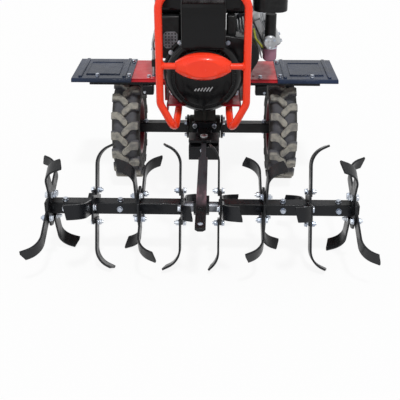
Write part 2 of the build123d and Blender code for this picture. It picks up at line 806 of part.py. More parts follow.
# Pans beside the engine that carry the fenders.
fender_top = engine_base_height + fender_rise
pan_top = fender_top - fender_plate - seat_gap
pan_front_y = fender_front_y + 18
pan_back_y = fender_back_y - 6
pan_outer = fender_inner + pan_overlap
pan_foot = engine_base_height - base_lip
pan_section = (  # distance from the middle, height: foot flange, upright web, flat top
    (base_half_width + seat_gap, pan_foot),
    (base_half_width + seat_gap, pan_foot + pan_plate),
    (pan_inner - pan_plate, pan_foot + pan_plate),
    (pan_inner - pan_plate, pan_top),
    (pan_outer, pan_top),
    (pan_outer, pan_top - pan_plate),
    (pan_inner, pan_top - pan_plate),
    (pan_inner, pan_foot),
)
with BuildPart() as deck_pans:
    for side in (-1, 1):
        with BuildSketch(Plane.XZ.offset(-pan_back_y)):
            with BuildLine():
                Polyline(*[(side * x, z) for x, z in pan_section], close=True)
            make_face()
        extrude(amount=pan_back_y - pan_front_y)
        with Locations((side * (pan_inner + pan_outer) / 2, pan_front_y + pan_plate / 2, pan_top - pan_lip / 2)):
            Box(pan_outer - pan_inner, pan_plate, pan_lip)
save(deck_pans, "deck_pans")

# Support rails under the fenders.
rail_y = pan_front_y + 22
rail_width = 25
with BuildPart() as fender_support:
    for side in (-1, 1):
        with Locations((side * (pan_inner + seat_gap), rail_y, pan_top - pan_plate - seat_gap)):
            Box(
                fender_outer - rail_end - pan_inner,
                rail_width,
                rail_height,
                align=(Align.MIN if side > 0 else Align.MAX, Align.CENTER, Align.MAX),
            )
save(fender_support, "fender_support")

# Fenders: pressed plates with two ribs, a turned-down front lip and an embossed panel.
fender_middle_y = (fender_front_y + fender_back_y) / 2
rib_inset = 30
rib_width = 14
panel_length = 128
panel_depth = 150
fender_section = (  # along y, height: lip, bend, rear edge and the same under the plate
    (fender_front_y, fender_top - fender_lip),
    (fender_front_y + 8, fender_top),
    (fender_back_y, fender_top),
    (fender_back_y, fender_top - fender_plate),
    (fender_front_y + 10, fender_top - fender_plate),
    (fender_front_y + 4, fender_top - fender_lip),
)
for name, side in sides:
    with BuildPart() as fender:
        with BuildSketch(Plane.YZ.offset(side * fender_inner)):
            with BuildLine():
                Polyline(*fender_section, close=True)
            make_face()
        extrude(amount=side * (fender_outer - fender_inner))
        outer_face = fender.faces().sort_by(Axis.X)[-1 if side > 0 else 0]
        chamfer(outer_face.edges().filter_by(Axis.Z).sort_by(Axis.Y)[-1], length=24)
        with BuildSketch(Plane.XY.offset(fender_top)):
            for x in (fender_inner + rib_inset, fender_outer - rib_inset):
                with Locations((side * x, fender_middle_y + 8)):
                    Rectangle(rib_width, fender_back_y - fender_front_y - 30)
        extrude(amount=5, taper=20)
        with BuildSketch(Plane.XY.offset(fender_top)):
            with Locations((side * (fender_inner + fender_outer) / 2, fender_middle_y)):
                Rectangle(panel_length, panel_depth)
        extrude(amount=4, taper=30)
    save(fender, f"fender_{name}")

# Rear hitch: a fork behind the gear case for a trailed tool, clear of the handles above.
up_back = Vector(-back_normal.Y, back_normal.X)
back_seat = Vector(0, axle_height) + back_normal * (case_low_radius + case_lip + seat_gap)
seat_low = back_seat + up_back * 8
seat_high = back_seat + up_back * 96
mouth_back = hitch_fork_y - 30
with BuildPart() as rear_hitch:
    with BuildSketch(Plane.YZ.offset(-hitch_fork_width / 2)):
        with BuildLine():
            Polyline(seat_low, seat_high, (mouth_back, seat_high.Y), (mouth_back, seat_low.Y), close=True)
        make_face()
    extrude(amount=hitch_fork_width)
    for level in (hitch_low, hitch_low + hitch_fork_plate + hitch_mouth):
        with Locations((0, mouth_back - 8, level)):
            Box(
                hitch_fork_width,
                hitch_fork_y + 24 - mouth_back + 8,
                hitch_fork_plate,
                align=(Align.CENTER, Align.MIN, Align.MIN),
            )
    with Locations((0, hitch_fork_y, hitch_low - 5)):
        Cylinder(hitch_bore_radius, 90, align=(Align.CENTER, Align.CENTER, Align.MIN), mode=Mode.SUBTRACT)
save(rear_hitch, "rear_hitch")

# Swing head: turns on the pillar on top of the gear case and carries the handlebar's hinge.
pivot_y = head_y + 16
pivot_z = head_seat + running_gap + 46
disc_height = 18
with BuildPart() as handle_head:
    with BuildSketch(Plane.XY.offset(head_seat + running_gap)):
        with Locations((0, head_y)):
            RegularPolygon(head_radius + 4, round_sides)
    extrude(amount=disc_height)
    with BuildSketch(Plane.XY.offset(head_seat + running_gap)):
        with Locations((0, head_y)):
            RegularPolygon(swivel_radius, round_sides)
    extrude(amount=-swivel_depth)
    with Locations((0, head_y + 4, head_seat + running_gap + disc_height)):
        Box(50, 56, 40, align=(Align.CENTER, Align.CENTER, Align.MIN))
    with BuildSketch(Plane.YZ):
        with Locations((pivot_y, pivot_z)):
            RegularPolygon(swing_pin_radius, round_sides)
    extrude(amount=60, both=True)
save(handle_head, "handle_head")

# Handlebar: cheeks on the hinge pin, two bent arms and a cross tube.
arm_low = Vector(arm_start_half, pivot_y + 90, pivot_z + 42)
arm_elbow = Vector(arm_spread, grip_end_y - elbow_reach, grip_height - elbow_drop)
brace = arm_low + (arm_elbow - arm_low) * 0.52
with BuildPart() as handlebar:
    for side in (-1, 1):
        with BuildSketch(Plane.YZ.offset(side * 31)):
            with Locations((pivot_y, pivot_z)):
                RegularPolygon(22, 16)
            with Locations((pivot_y + 62, pivot_z + 26)):
                RegularPolygon(18, 16)
            make_hull()
            with Locations((pivot_y, pivot_z)):
                Circle(swing_pin_radius + pin_clearance, mode=Mode.SUBTRACT)
        extrude(amount=side * 8)
        arm_corners = (
            (side * arm_start_half, pivot_y + 44, pivot_z + 20),
            (side * arm_low.X, arm_low.Y, arm_low.Z),
            (side * arm_elbow.X, arm_elbow.Y, arm_elbow.Z),
            (side * (arm_spread + 20), grip_end_y - straight_length, grip_height - 20),
            (side * (arm_spread + 20), grip_end_y - 2, grip_height - 14),
        )
        with BuildLine() as arm:
            Polyline(*bent(arm_corners, (30, 90, 90), chords=3))
        with BuildSketch(Plane(origin=arm.line @ 0, z_dir=arm.line % 0)):
            RegularPolygon(arm_tube_radius, tube_sides)
        sweep(path=arm.line, transition=Transition.RIGHT)
    for y, z, radius, half_length in (
        (pivot_y + 56, pivot_z + 25, 12, arm_start_half),
        (brace.Y, brace.Z, 10, brace.X),
    ):
        with BuildSketch(Plane.YZ):
            with Locations((y, z)):
                RegularPolygon(radius, tube_sides)
        extrude(amount=half_length, both=True)
save(handlebar, "handlebar")

with BuildPart() as grips:
    for side in (-1, 1):
        rear = Vector(side * (arm_spread + 20), grip_end_y, grip_height - 14)
        front = Vector(side * (arm_spread + 20), grip_end_y - straight_length, grip_height - 20)
        along = (front - rear).normalized()
        with BuildSketch(Plane(origin=rear, z_dir=along)):
            RegularPolygon(arm_tube_radius + grip_wall, 16)
        extrude(amount=grip_length)
        with BuildSketch(Plane(origin=rear + along * 1.7, z_dir=along)):
            RegularPolygon(arm_tube_radius + seat_gap, 16, major_radius=False)
        extrude(amount=grip_length, mode=Mode.SUBTRACT)
save(grips, "grips")

# Levers on the handlebar and the gear lever behind the gear case.
with BuildPart() as clutch_lever:
    lever_y = grip_end_y - 140
    lever_rise = 6 * (lever_y - grip_end_y + straight_length) / (straight_length - 2)
    tube_low = grip_height - 20 + lever_rise - arm_tube_radius
    with BuildSketch(Plane.XY.offset(tube_low - 16)):
        with Locations((arm_spread + 20, (grip_end_y - 20 + lever_y) / 2)):
            blade = Rectangle(18, grip_end_y - 20 - lever_y + 18)
        chamfer(blade.vertices(), length=6)
    extrude(amount=6)
    with Locations((arm_spread + 20, lever_y, tube_low - 10)):
        Box(14, 18, 10 - 2 * seat_gap, align=(Align.CENTER, Align.CENTER, Align.MIN))
save(clutch_lever, "clutch_lever")

rod_foot = (case_top_radius + seat_gap) * sin(radians(45))
knob_radius = 15
with BuildPart() as gear_lever:
    rod_corners = (
        (30, case_top_y + rod_foot, crank_height + rod_foot),
        (30, case_top_y + rod_foot + 22, crank_height + rod_foot + 22),
        (44, case_top_y + 138, crank_height + 118),
    )
    with BuildLine() as rod:
        Polyline(*bent(rod_corners, (20,), chords=3))
    with BuildSketch(Plane(origin=rod.line @ 0, z_dir=rod.line % 0)):
        RegularPolygon(6, tube_sides)
    sweep(path=rod.line, transition=Transition.RIGHT)
    for length, slope in ((-knob_radius, 0), (knob_radius, 24)):
        with BuildSketch(Plane(origin=rod.line @ 1, z_dir=rod.line % 1)):
            RegularPolygon(knob_radius, 12)
        extrude(amount=length, taper=slope)
save(gear_lever, "gear_lever")

print("axle height", round(axle_height, 3), "reel height", round(reel_height, 3))
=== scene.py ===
"""Looks of the walk-behind tractor with its front tine reel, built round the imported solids.

Every piece is modelled in millimetres in the frame of the solids, and turned to metres when it is placed.
"""

import json
import logging
import math
from dataclasses import dataclass
from enum import Enum
from typing import Iterable, Sequence

import bmesh
import bpy
from mathutils import Matrix, Vector

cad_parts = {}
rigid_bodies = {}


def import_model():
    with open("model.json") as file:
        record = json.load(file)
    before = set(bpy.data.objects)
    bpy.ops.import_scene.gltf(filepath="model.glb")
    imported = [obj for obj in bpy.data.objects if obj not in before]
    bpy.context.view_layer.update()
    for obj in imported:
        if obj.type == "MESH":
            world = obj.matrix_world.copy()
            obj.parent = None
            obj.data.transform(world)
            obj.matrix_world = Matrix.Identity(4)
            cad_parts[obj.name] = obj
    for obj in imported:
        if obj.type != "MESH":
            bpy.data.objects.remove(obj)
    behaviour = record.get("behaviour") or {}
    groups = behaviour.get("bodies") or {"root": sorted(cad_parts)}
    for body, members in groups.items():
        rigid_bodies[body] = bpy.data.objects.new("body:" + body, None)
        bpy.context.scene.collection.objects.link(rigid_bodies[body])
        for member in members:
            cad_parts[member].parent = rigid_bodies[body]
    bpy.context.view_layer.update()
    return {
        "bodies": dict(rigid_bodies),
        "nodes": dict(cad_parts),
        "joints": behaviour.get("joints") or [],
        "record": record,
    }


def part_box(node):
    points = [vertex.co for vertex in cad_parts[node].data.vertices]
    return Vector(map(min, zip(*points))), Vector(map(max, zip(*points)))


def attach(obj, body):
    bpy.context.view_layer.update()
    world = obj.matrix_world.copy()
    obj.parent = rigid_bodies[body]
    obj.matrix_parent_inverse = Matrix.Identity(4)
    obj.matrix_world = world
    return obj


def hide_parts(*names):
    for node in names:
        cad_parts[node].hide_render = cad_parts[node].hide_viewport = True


log = logging.getLogger("tractor")
Colour = tuple[float, float, float]
Point = Sequence[float]
Outline = Sequence[tuple[float, float]]
Socket = bpy.types.NodeSocket
METRE = 1000
HERE = Matrix()


def srgb(red: float, green: float, blue: float) -> Colour:
    """Turns a colour as a screen shows it into the linear one that a shader wants.

    Args:
        red: Red from 0 to 255.
        green: Green from 0 to 255.
        blue: Blue from 0 to 255.

    Returns:
        The linear colour, each channel from 0 to 1.
    """
    shown = (channel / 255 for channel in (red, green, blue))
    return tuple(c / 12.92 if c <= 0.04045 else ((c + 0.055) / 1.055) ** 2.4 for c in shown)


class Board:
    """The node tree of one material, with short methods for the nodes that finishes share."""

    def __init__(self, name: str) -> None:
        """Starts a material that holds one Principled shader.

        Args:
            name: Name of the material.
        """
        self.material = bpy.data.materials.new(name)
        self.material.use_nodes = True
        self.tree = self.material.node_tree
        self.surface = self.tree.nodes["Principled BSDF"]
        self.place = self.tree.nodes.new("ShaderNodeTexCoord").outputs["Object"]

    def node(self, kind: str, inputs: dict[str | int, object], **settings: object) -> bpy.types.Node:
        """Adds one node and fills it.

        Args:
            kind: Blender's name of the node type.
            inputs: Socket name or number to a value or to the socket that feeds it.
            settings: Attributes of the node.

        Returns:
            The new node.
        """
        made = self.tree.nodes.new(kind)
        for key, value in settings.items():
            setattr(made, key, value)
        for key, value in inputs.items():
            if isinstance(value, Socket):
                self.tree.links.new(value, made.inputs[key])
            else:
                made.inputs[key].default_value = value
        return made

    def stretched(self, stretch: Colour) -> Socket:
        """Gives the place on the object, scaled along each axis for a pattern."""
        return self.node("ShaderNodeMapping", {"Vector": self.place, "Scale": stretch}).outputs["Vector"]

    def noise(self, scale: float, detail: float = 3, stretch: Colour = (1, 1, 1)) -> Socket:
        """Adds a noise that varies from 0 to 1 across the surface.

        Args:
            scale: Patches in a metre.
            detail: How many finer layers are added.
            stretch: Extra scale along each axis.

        Returns:
            The noise value.
        """
        inputs = {"Vector": self.stretched(stretch), "Scale": scale, "Detail": detail}
        return self.node("ShaderNodeTexNoise", inputs).outputs["Fac"]

    def span(self, value: Socket, start: float, end: float, low: float, high: float) -> Socket:
        """Maps a value from one range to another, smoothly and without going past it.

        Args:
            value: The value to map.
            start: Input that gives low.
            end: Input that gives high.
            low: Output at start.
            high: Output at end.

        Returns:
            The mapped value.
        """
        inputs = {"Value": value, 1: start, 2: end, 3: low, 4: high}
        return self.node("ShaderNodeMapRange", inputs, interpolation_type="SMOOTHSTEP").outputs[0]

    def times(self, first: Socket, second: Socket) -> Socket:
        """Multiplies two values."""
        return self.node("ShaderNodeMath", {0: first, 1: second}, operation="MULTIPLY").outputs[0]

    def mix(self, factor: Socket, first: Colour | Socket, second: Colour | Socket) -> Socket:
        """Mixes two colours.

        Args:
            factor: Share of the second colour.
            first: Colour where the factor is 0.
            second: Colour where the factor is 1.

        Returns:
            The mixed colour.
        """
        colours = [c if isinstance(c, Socket) else (*c, 1) for c in (first, second)]
        inputs = {0: factor, 6: colours[0], 7: colours[1]}
        return self.node("ShaderNodeMix", inputs, data_type="RGBA").outputs[2]

    def facing_up(self) -> Socket:
        """Tells how far the surface faces up.

        Returns:
            1 where it faces straight up, and 0 where it is upright or faces down.
        """
        normal = self.tree.nodes.new("ShaderNodeNewGeometry").outputs["Normal"]
        height = self.node("ShaderNodeSeparateXYZ", {0: normal}).outputs["Z"]
        return self.span(height, 0.25, 1, 0, 1)

    def relief(self, height: Socket, depth: float) -> Socket:
        """Turns a height from 0 to 1 into the normal of a bump with a real depth in metres."""
        inputs = {"Height": height, "Distance": depth, "Strength": 1.0}
        return self.node("ShaderNodeBump", inputs).outputs["Normal"]

    def finish(
        self, colour: Socket | Colour, roughness: Socket | float, **constants: object
    ) -> bpy.types.Material:
        """Feeds the Principled shader and hands the material over.

        Args:
            colour: Base colour.
            roughness: Roughness.
            constants: Other sockets by name, with underscores for spaces.

        Returns:
            The material.
        """
        constants = {"Specular_IOR_Level": 0.22, "Base Color": colour, "Roughness": roughness} | constants
        for key, value in constants.items():
            socket = self.surface.inputs[key.replace("_", " ")]
            if isinstance(value, Socket):
                self.tree.links.new(value, socket)
            else:
                socket.default_value = (*value, 1) if isinstance(value, tuple) else value
        return self.material


@dataclass(frozen=True)
class Paint:
    """Sprayed enamel: slow changes of tone, orange peel, and fine dust where it faces up."""

    name: str
    colour: Colour
    tone: Colour
    roughness: float = 0.3
    coat: float = 0.4
    specular: float = 0.22
    peel: float = 0.00004
    dust: float = 0.1
    dust_colour: Colour = srgb(176, 170, 160)
    patch_scale: float = 5
    speck_scale: float = 260
    sheen_scale: float = 38
    peel_scale: float = 420

    def material(self) -> bpy.types.Material:
        """Builds the enamel.

        Returns:
            The material.
        """
        board = Board(self.name)
        patches = board.span(board.noise(self.patch_scale, 4), 0.35, 0.68, 0, 1)
        colour = board.mix(patches, self.colour, self.tone)
        specks = board.span(board.noise(self.speck_scale, 2), 0.45, 0.75, 0, self.dust)
        colour = board.mix(board.times(specks, board.facing_up()), colour, self.dust_colour)
        sheen = board.noise(self.sheen_scale, 4)
        roughness = board.span(sheen, 0.3, 0.75, self.roughness * 0.8, self.roughness * 1.35)
        normal = board.relief(board.noise(self.peel_scale, 2), self.peel)
        gloss = {"Coat_Weight": self.coat, "Coat_Roughness": 0.08, "Specular_IOR_Level": self.specular}
        return board.finish(colour, roughness, Normal=normal, **gloss)


@dataclass(frozen=True)
class Metal:
    """Bare or plated metal, or a casting: patches of tone and a grain that can run one way."""

    name: str
    colour: Colour
    tone: Colour
    roughness: float
    metallic: float = 1.0
    grain: float = 0.00005
    grain_scale: float = 300
    stretch: Colour = (1, 1, 1)
    patch_scale: float = 24

    def material(self) -> bpy.types.Material:
        """Builds the metal.

        Returns:
            The material.
        """
        board = Board(self.name)
        patches = board.span(board.noise(self.patch_scale, 5), 0.38, 0.66, 0, 1)
        colour = board.mix(patches, self.colour, self.tone)
        fine = board.noise(self.grain_scale, 3, self.stretch)
        roughness = board.span(fine, 0.3, 0.7, self.roughness * 0.75, self.roughness * 1.3)
        normal = board.relief(fine, self.grain)
        return board.finish(colour, roughness, Normal=normal, Metallic=self.metallic)


@dataclass(frozen=True)
class Rubber:
    """Tyre rubber: lighter warm grey on the lugs, blue grey between them, and painted shade that makes the walls
    nearly black.
    """

    name: str
    colour: Colour
    # warm grey that lightens the lugs' tops
    dust: Colour
    # colour of the walls: painted shade
    wall: Colour
    tread_radius: float
    axle_height: float
    grain: float = 0.00025
    grain_scale: float = 520
    cloud_scale: float = 55
    sheen_scale: float = 90
    lug_height: float = 0.014

    def material(self) -> bpy.types.Material:
        """Builds the rubber, lighter and warmer from the tread surface out to the lugs' tops, with painted shade
        darkening the walls.

        Returns:
            The material.
        """
        board = Board(self.name)
        parts = board.node("ShaderNodeSeparateXYZ", {0: board.place}).outputs
        height = board.node("ShaderNodeMath", {0: parts["Z"], 1: self.axle_height}, operation="SUBTRACT")
        radial = board.node("ShaderNodeCombineXYZ", {1: parts["Y"], 2: height.outputs[0]})
        length = board.node("ShaderNodeVectorMath", {0: radial.outputs[0]}, operation="LENGTH")
        distance = length.outputs["Value"]
        outer = board.span(distance, self.tread_radius + 0.002, self.tread_radius + self.lug_height, 0.1, 0.92)
        cloudy = board.span(board.noise(self.cloud_scale, 5), 0.3, 0.65, 0.4, 1)
        # painted shade: inside the tread radius the walls take the dark wall colour
        past_wall_shade = board.span(distance, self.tread_radius - 0.012, self.tread_radius - 0.002, 0, 1)
        colour = board.mix(board.times(outer, cloudy), board.mix(past_wall_shade, self.wall, self.colour), self.dust)
        roughness = board.span(board.noise(self.sheen_scale, 4), 0.3, 0.7, 0.62, 0.9)
        normal = board.relief(board.noise(self.grain_scale, 4), self.grain)
        return board.finish(colour, roughness, Normal=normal)


@dataclass(frozen=True)
class Plastic:
    """Moulded plastic or soft grip rubber with a fine leather grain."""

    name: str
    colour: Colour
    roughness: float = 0.5
    grain: float = 0.00012
    cell_scale: float = 900
    patch_scale: float = 70
    sheen_scale: float = 120

    def material(self) -> bpy.types.Material:
        """Builds the plastic.

        Returns:
            The material.
        """
        board = Board(self.name)
        lighter = tuple(min(1, channel * 1.5 + 0.004) for channel in self.colour)
        patches = board.span(board.noise(self.patch_scale, 4), 0.35, 0.7, 0, 1)
        colour = board.mix(patches, self.colour, lighter)
        cells = board.node("ShaderNodeTexVoronoi", {"Vector": board.place, "Scale": self.cell_scale})
        sheen = board.noise(self.sheen_scale, 3)
        roughness = board.span(sheen, 0.3, 0.7, self.roughness * 0.85, self.roughness * 1.2)
        normal = board.relief(cells.outputs["Distance"], self.grain)
        return board.finish(colour, roughness, Normal=normal)


@dataclass(frozen=True)
class BarWithPaintedHighlight:
    """Black paint on flat bar, with a brown and purple painted highlight and reflection along its middle."""

    name: str
    colour: Colour
    highlight_colour: Colour
    front: Colour
    highlight_from: float
    highlight_to: float
    blur: float = 0.035
    streak_scale: float = 60
    scratch_scale: float = 240
    scratch_depth: float = 0.00008

    def material(self) -> bpy.types.Material:
        """Builds the black paint, with a painted highlight and reflection between two places along the bar, and
        darker paint in front of them.

        Returns:
            The material.
        """
        board = Board(self.name)
        along = board.node("ShaderNodeSeparateXYZ", {0: board.place}).outputs["Y"]
        # the bare colour between the two places is a painted highlight and reflection, broken into streaks by
        # noise
        start = board.span(along, self.highlight_from - self.blur, self.highlight_from + self.blur, 0, 1)
        end = board.span(along, self.highlight_to - self.blur, self.highlight_to + self.blur, 1, 0)
        highlight_streaks = board.span(board.noise(self.streak_scale, 6, (1, 0.25, 1)), 0.38, 0.6, 0.25, 1)
        paint = board.mix(start, self.front, self.colour)
        colour = board.mix(board.times(board.times(start, end), highlight_streaks), paint, self.highlight_colour)
        scratches = board.noise(self.scratch_scale, 3, (1, 0.08, 1))
        roughness = board.span(scratches, 0.3, 0.7, 0.28, 0.52)
        normal = board.relief(scratches, self.scratch_depth)
        return board.finish(colour, roughness, Normal=normal, Metallic=0.2)


class Look(Enum):
    """The finishes on the machine."""

    ORANGE = "orange_paint"
    RED = "red_paint"
    RED_PAINTED_SHADE = "red_rim_painted_shade"
    BLACK_PAINTED_SKY = "black_paint_painted_sky_reflection"
    GLOSS = "gloss_black"
    SATIN = "satin_black"
    CAST = "cast_iron"
    ALUMINIUM = "cast_aluminium"
    ZINC = "zinc"
    STEEL = "ground_steel"
    # the bar's finish, with its painted highlight and reflection near the reel
    BAR = "worn_bar"
    RUBBER = "tyre_rubber"
    GRIP = "grip_rubber"
    SHELL = "black_plastic"
    HOSE = "fuel_hose"
    MAUVE = "bowl_plating"


def make_finishes(axle_height: float) -> dict[Look, bpy.types.Material]:
    """Builds every material of the machine once.

    Args:
        axle_height: Height of the wheels' axle in metres.

    Returns:
        Each look's material.
    """
    paints = (
        (Look.ORANGE, srgb(246, 60, 24), srgb(240, 50, 24), 0.22, 0.22, 0.22, 0.03),
        (Look.RED, srgb(204, 34, 42), srgb(168, 24, 40), 0.34, 0.1, 0.22, 0.04),
        # the rims' red paint darkened: painted shade
        (Look.RED_PAINTED_SHADE, srgb(104, 14, 30), srgb(76, 11, 24), 0.4, 0.05, 0.22, 0.03),
        # black paint coloured navy: a painted reflection of the blue sky
        (Look.BLACK_PAINTED_SKY, srgb(32, 45, 70), srgb(27, 36, 52), 0.24, 0.0, 0.16, 0.03),
        (Look.GLOSS, srgb(11, 11, 13), srgb(16, 17, 19), 0.2, 0.06, 0.16, 0.02),
        (Look.SATIN, srgb(20, 22, 26), srgb(13, 14, 17), 0.32, 0.04, 0.22, 0.03),
        (Look.MAUVE, srgb(146, 103, 121), srgb(128, 90, 108), 0.34, 0.1, 0.22, 0.03),
    )
    metals = (
        (Look.CAST, srgb(40, 44, 41), srgb(27, 30, 28), 0.5, 0.15, 0.0004, 420),
        (Look.ALUMINIUM, srgb(184, 186, 188), srgb(160, 162, 165), 0.42, 0.9, 0.0003, 480),
        (Look.ZINC, srgb(206, 211, 218), srgb(158, 167, 182), 0.28, 1.0, 0.00005, 700),
        (Look.STEEL, srgb(118, 120, 125), srgb(80, 82, 88), 0.4, 0.85, 0.0001, 520, (1, 0.2, 1)),
    )
    plastics = (
        (Look.GRIP, srgb(26, 26, 27), 0.62, 0.0003),
        (Look.SHELL, srgb(13, 14, 15), 0.34, 0.00006),
        (Look.HOSE, srgb(150, 152, 62), 0.45, 0.00005),
    )
    recipes = [
        Paint(look.value, colour, tone, roughness, coat, specular, dust=dust)
        for look, colour, tone, roughness, coat, specular, dust in paints
    ]
    recipes += [Metal(look.value, *sizes) for look, *sizes in metals]
    recipes += [Plastic(look.value, *sizes) for look, *sizes in plastics]
    recipes += [
        # the drawbar's second colour is its painted highlight and reflection
        BarWithPaintedHighlight(Look.BAR.value, srgb(64, 65, 69), srgb(134, 108, 116), srgb(28, 28, 30), -0.7, -0.6),
        # the tyre's third colour is the walls' painted shade
        Rubber(Look.RUBBER.value, srgb(74, 75, 82), srgb(154, 151, 141), srgb(33, 33, 35), 0.19, axle_height),
    ]
    return {Look(recipe.name): recipe.material() for recipe in recipes}


def aim(place: Point, direction: Point = (0, 0, 1), turn: float = 0) -> Matrix:
    """Gives the matrix that sets a form at a place with its +Z along a direction.

    Args:
        place: Where the form's origin goes.
        direction: Where its +Z points.
        turn: Degrees that it is turned about its own +Z first.

    Returns:
        The matrix.
    """
    facing = Vector(direction).to_track_quat("Z", "Y").to_matrix().to_4x4()
    return Matrix.Translation(place) @ facing @ Matrix.Rotation(math.radians(turn), 4, "Z")


def framed(x_axis: Point, y_axis: Point, z_axis: Point, origin: Point = (0, 0, 0)) -> Matrix:
    """Gives the matrix that points a form's axes and sets its origin.

    Args:
        x_axis: Where its +X points.
        y_axis: Where its +Y points.
        z_axis: Where its +Z points.
        origin: Where its origin goes.

    Returns:
        The matrix.
    """
    return Matrix.Translation(origin) @ Matrix((x_axis, y_axis, z_axis)).transposed().to_4x4()


def upright(x: float, side: int = 1) -> Matrix:
    """Gives the matrix for an outline in Y and Z that is raised along x, or against it."""
    return framed((0, 1, 0), (0, 0, 1), (side, 0, 0), (x, 0, 0))


class Form:
    """One solid in the making, in millimetres, shaped by bmesh operators."""

    def __init__(self) -> None:
        """Starts with nothing."""
        self.mesh = bmesh.new()

    @classmethod
    def block(cls, low: Point, high: Point, soft: float = 0, segments: int = 2) -> "Form":
        """Makes a box with softened edges.

        Args:
            low: Lowest corner.
            high: Highest corner.
            soft: Width of the rounded edges.
            segments: Steps across a rounded edge.

        Returns:
            The form.
        """
        form = cls()
        low, high = Vector(low), Vector(high)
        place = Matrix.Translation((low + high) / 2) @ Matrix.Diagonal((*(high - low), 1))
        bmesh.ops.create_cube(form.mesh, size=1, matrix=place)
        return form.soften(soft, segments) if soft else form

    @classmethod
    def plate(cls, outline: Outline, thickness: float, holes: Iterable[Point] = (), soft: float = 0) -> "Form":
        """Makes a flat piece from an outline in XY, raised along +Z.

        Args:
            outline: Corners in order.
            thickness: How far it is raised.
            holes: Each hole's x, y and radius.
            soft: Width of the rounded edges.

        Returns:
            The form.
        """
        form = cls()
        mesh = form.mesh
        corners = [mesh.verts.new((x, y, 0)) for x, y in outline]
        edges = [mesh.edges.new(pair) for pair in zip(corners, corners[1:] + corners[:1])]
        for x, y, radius in holes:
            place = Matrix.Translation((x, y, 0))
            rim = bmesh.ops.create_circle(mesh, segments=28, radius=radius, matrix=place)
            edges += dict.fromkeys(edge for vert in rim["verts"] for edge in vert.link_edges)
        bmesh.ops.triangle_fill(mesh, edges=edges, use_beauty=True)
        bmesh.ops.dissolve_limit(mesh, angle_limit=0.01, verts=mesh.verts, edges=mesh.edges)
        form.raise_faces(thickness)
        return form.soften(soft) if soft else form

    @classmethod
    def turned(cls, profile: Outline, steps: int = 48, ring: bool = False, crease: float = 34) -> "Form":
        """Spins a profile about +Z.

        Args:
            profile: Radius and height of each corner.
            steps: Steps round the axis.
            ring: Whether the profile closes on itself.
            crease: Degrees between faces from which the edge stays sharp.

        Returns:
            The form.
        """
        form = cls()
        verts = [form.mesh.verts.new((radius, 0, height)) for radius, height in profile]
        followers = verts[1:] + verts[:1] if ring else verts[1:]
        edges = [form.mesh.edges.new(pair) for pair in zip(verts, followers)]
        bmesh.ops.spin(
            form.mesh, geom=verts + edges, cent=(0, 0, 0), axis=(0, 0, 1), angle=math.tau, steps=steps,
            use_merge=True,
        )
        bmesh.ops.remove_doubles(form.mesh, verts=form.mesh.verts, dist=0.01)
        bmesh.ops.holes_fill(form.mesh, edges=form.mesh.edges, sides=0)
        return form.crease(crease)

    @classmethod
    def run(cls, section: Outline, corners: Sequence[Point], bends: Sequence[float], steps: int) -> "Form":
        """Draws a section along straight runs and round their bends, like bent tube or flat bar.

        Args:
            section: Corners of the section, in the plane across the first run.
            corners: Points where the runs meet.
            bends: Bend radius at each inner corner.
            steps: Steps in each bend.

        Returns:
            The form.
        """
        form = cls()
        mesh = form.mesh
        points = [Vector(corner) for corner in corners]
        place = aim(points[0], points[1] - points[0])
        verts = [mesh.verts.new(place @ Vector((x, y, 0))) for x, y in section]
        rim = [mesh.edges.new(pair) for pair in zip(verts, verts[1:] + verts[:1])]
        mesh.faces.new(verts)
        here = points[0]
        for before, corner, after, bend in zip(points, points[1:], points[2:], bends):
            into, out = (corner - before).normalized(), (after - corner).normalized()
            angle = into.angle(out)
            start = corner - into * bend * math.tan(angle / 2)
            rim = form.draw(rim, start - here)
            inward = (out - into * into.dot(out)).normalized()
            swung = bmesh.ops.spin(
                mesh, geom=rim, cent=start + inward * bend, axis=into.cross(out), angle=angle, steps=steps
            )
            rim = [item for item in swung["geom_last"] if isinstance(item, bmesh.types.BMEdge)]
            here = corner + out * bend * math.tan(angle / 2)
        rim = form.draw(rim, points[-1] - here)
        bmesh.ops.contextual_create(mesh, geom=rim)
        return form.crease(40)

    @classmethod
    def tube(
        cls, radius: float, corners: Sequence[Point], bends: Sequence[float] = (), steps: int = 8,
        sides: int = 24,
    ) -> "Form":
        """Draws a round tube along straight runs and round their bends.

        Args:
            radius: Radius of the tube.
            corners: Points where the runs meet.
            bends: Bend radius at each inner corner.
            steps: Steps in each bend.
            sides: Sides of the tube.

        Returns:
            The form.
        """
        return cls.run(circle(radius, sides), corners, bends, steps)

    @classmethod
    def hull(cls, circles: Iterable[Point], thickness: float, soft: float = 0, segments: int = 3) -> "Form":
        """Stretches a skin round some upright discs.

        Args:
            circles: Each disc's x, y and radius.
            thickness: How far the discs are raised.
            soft: Width of the rounded edges.
            segments: Steps across a rounded edge.

        Returns:
            The form.
        """
        form = cls()
        for x, y, radius in circles:
            place = Matrix.Translation((x, y, thickness / 2))
            bmesh.ops.create_cone(
                form.mesh, cap_ends=True, segments=72, radius1=radius, radius2=radius, depth=thickness,
                matrix=place,
            )
        wrapped = bmesh.ops.convex_hull(form.mesh, input=form.mesh.verts)
        inside = dict.fromkeys(item for key in ("geom_interior", "geom_unused") for item in wrapped[key])
        loose = [item for item in inside if isinstance(item, bmesh.types.BMVert) and item.is_valid]
        bmesh.ops.delete(form.mesh, geom=loose, context="VERTS")
        bmesh.ops.dissolve_limit(form.mesh, angle_limit=0.02, verts=form.mesh.verts, edges=form.mesh.edges)
        return form.soften(soft, segments) if soft else form.crease(34)

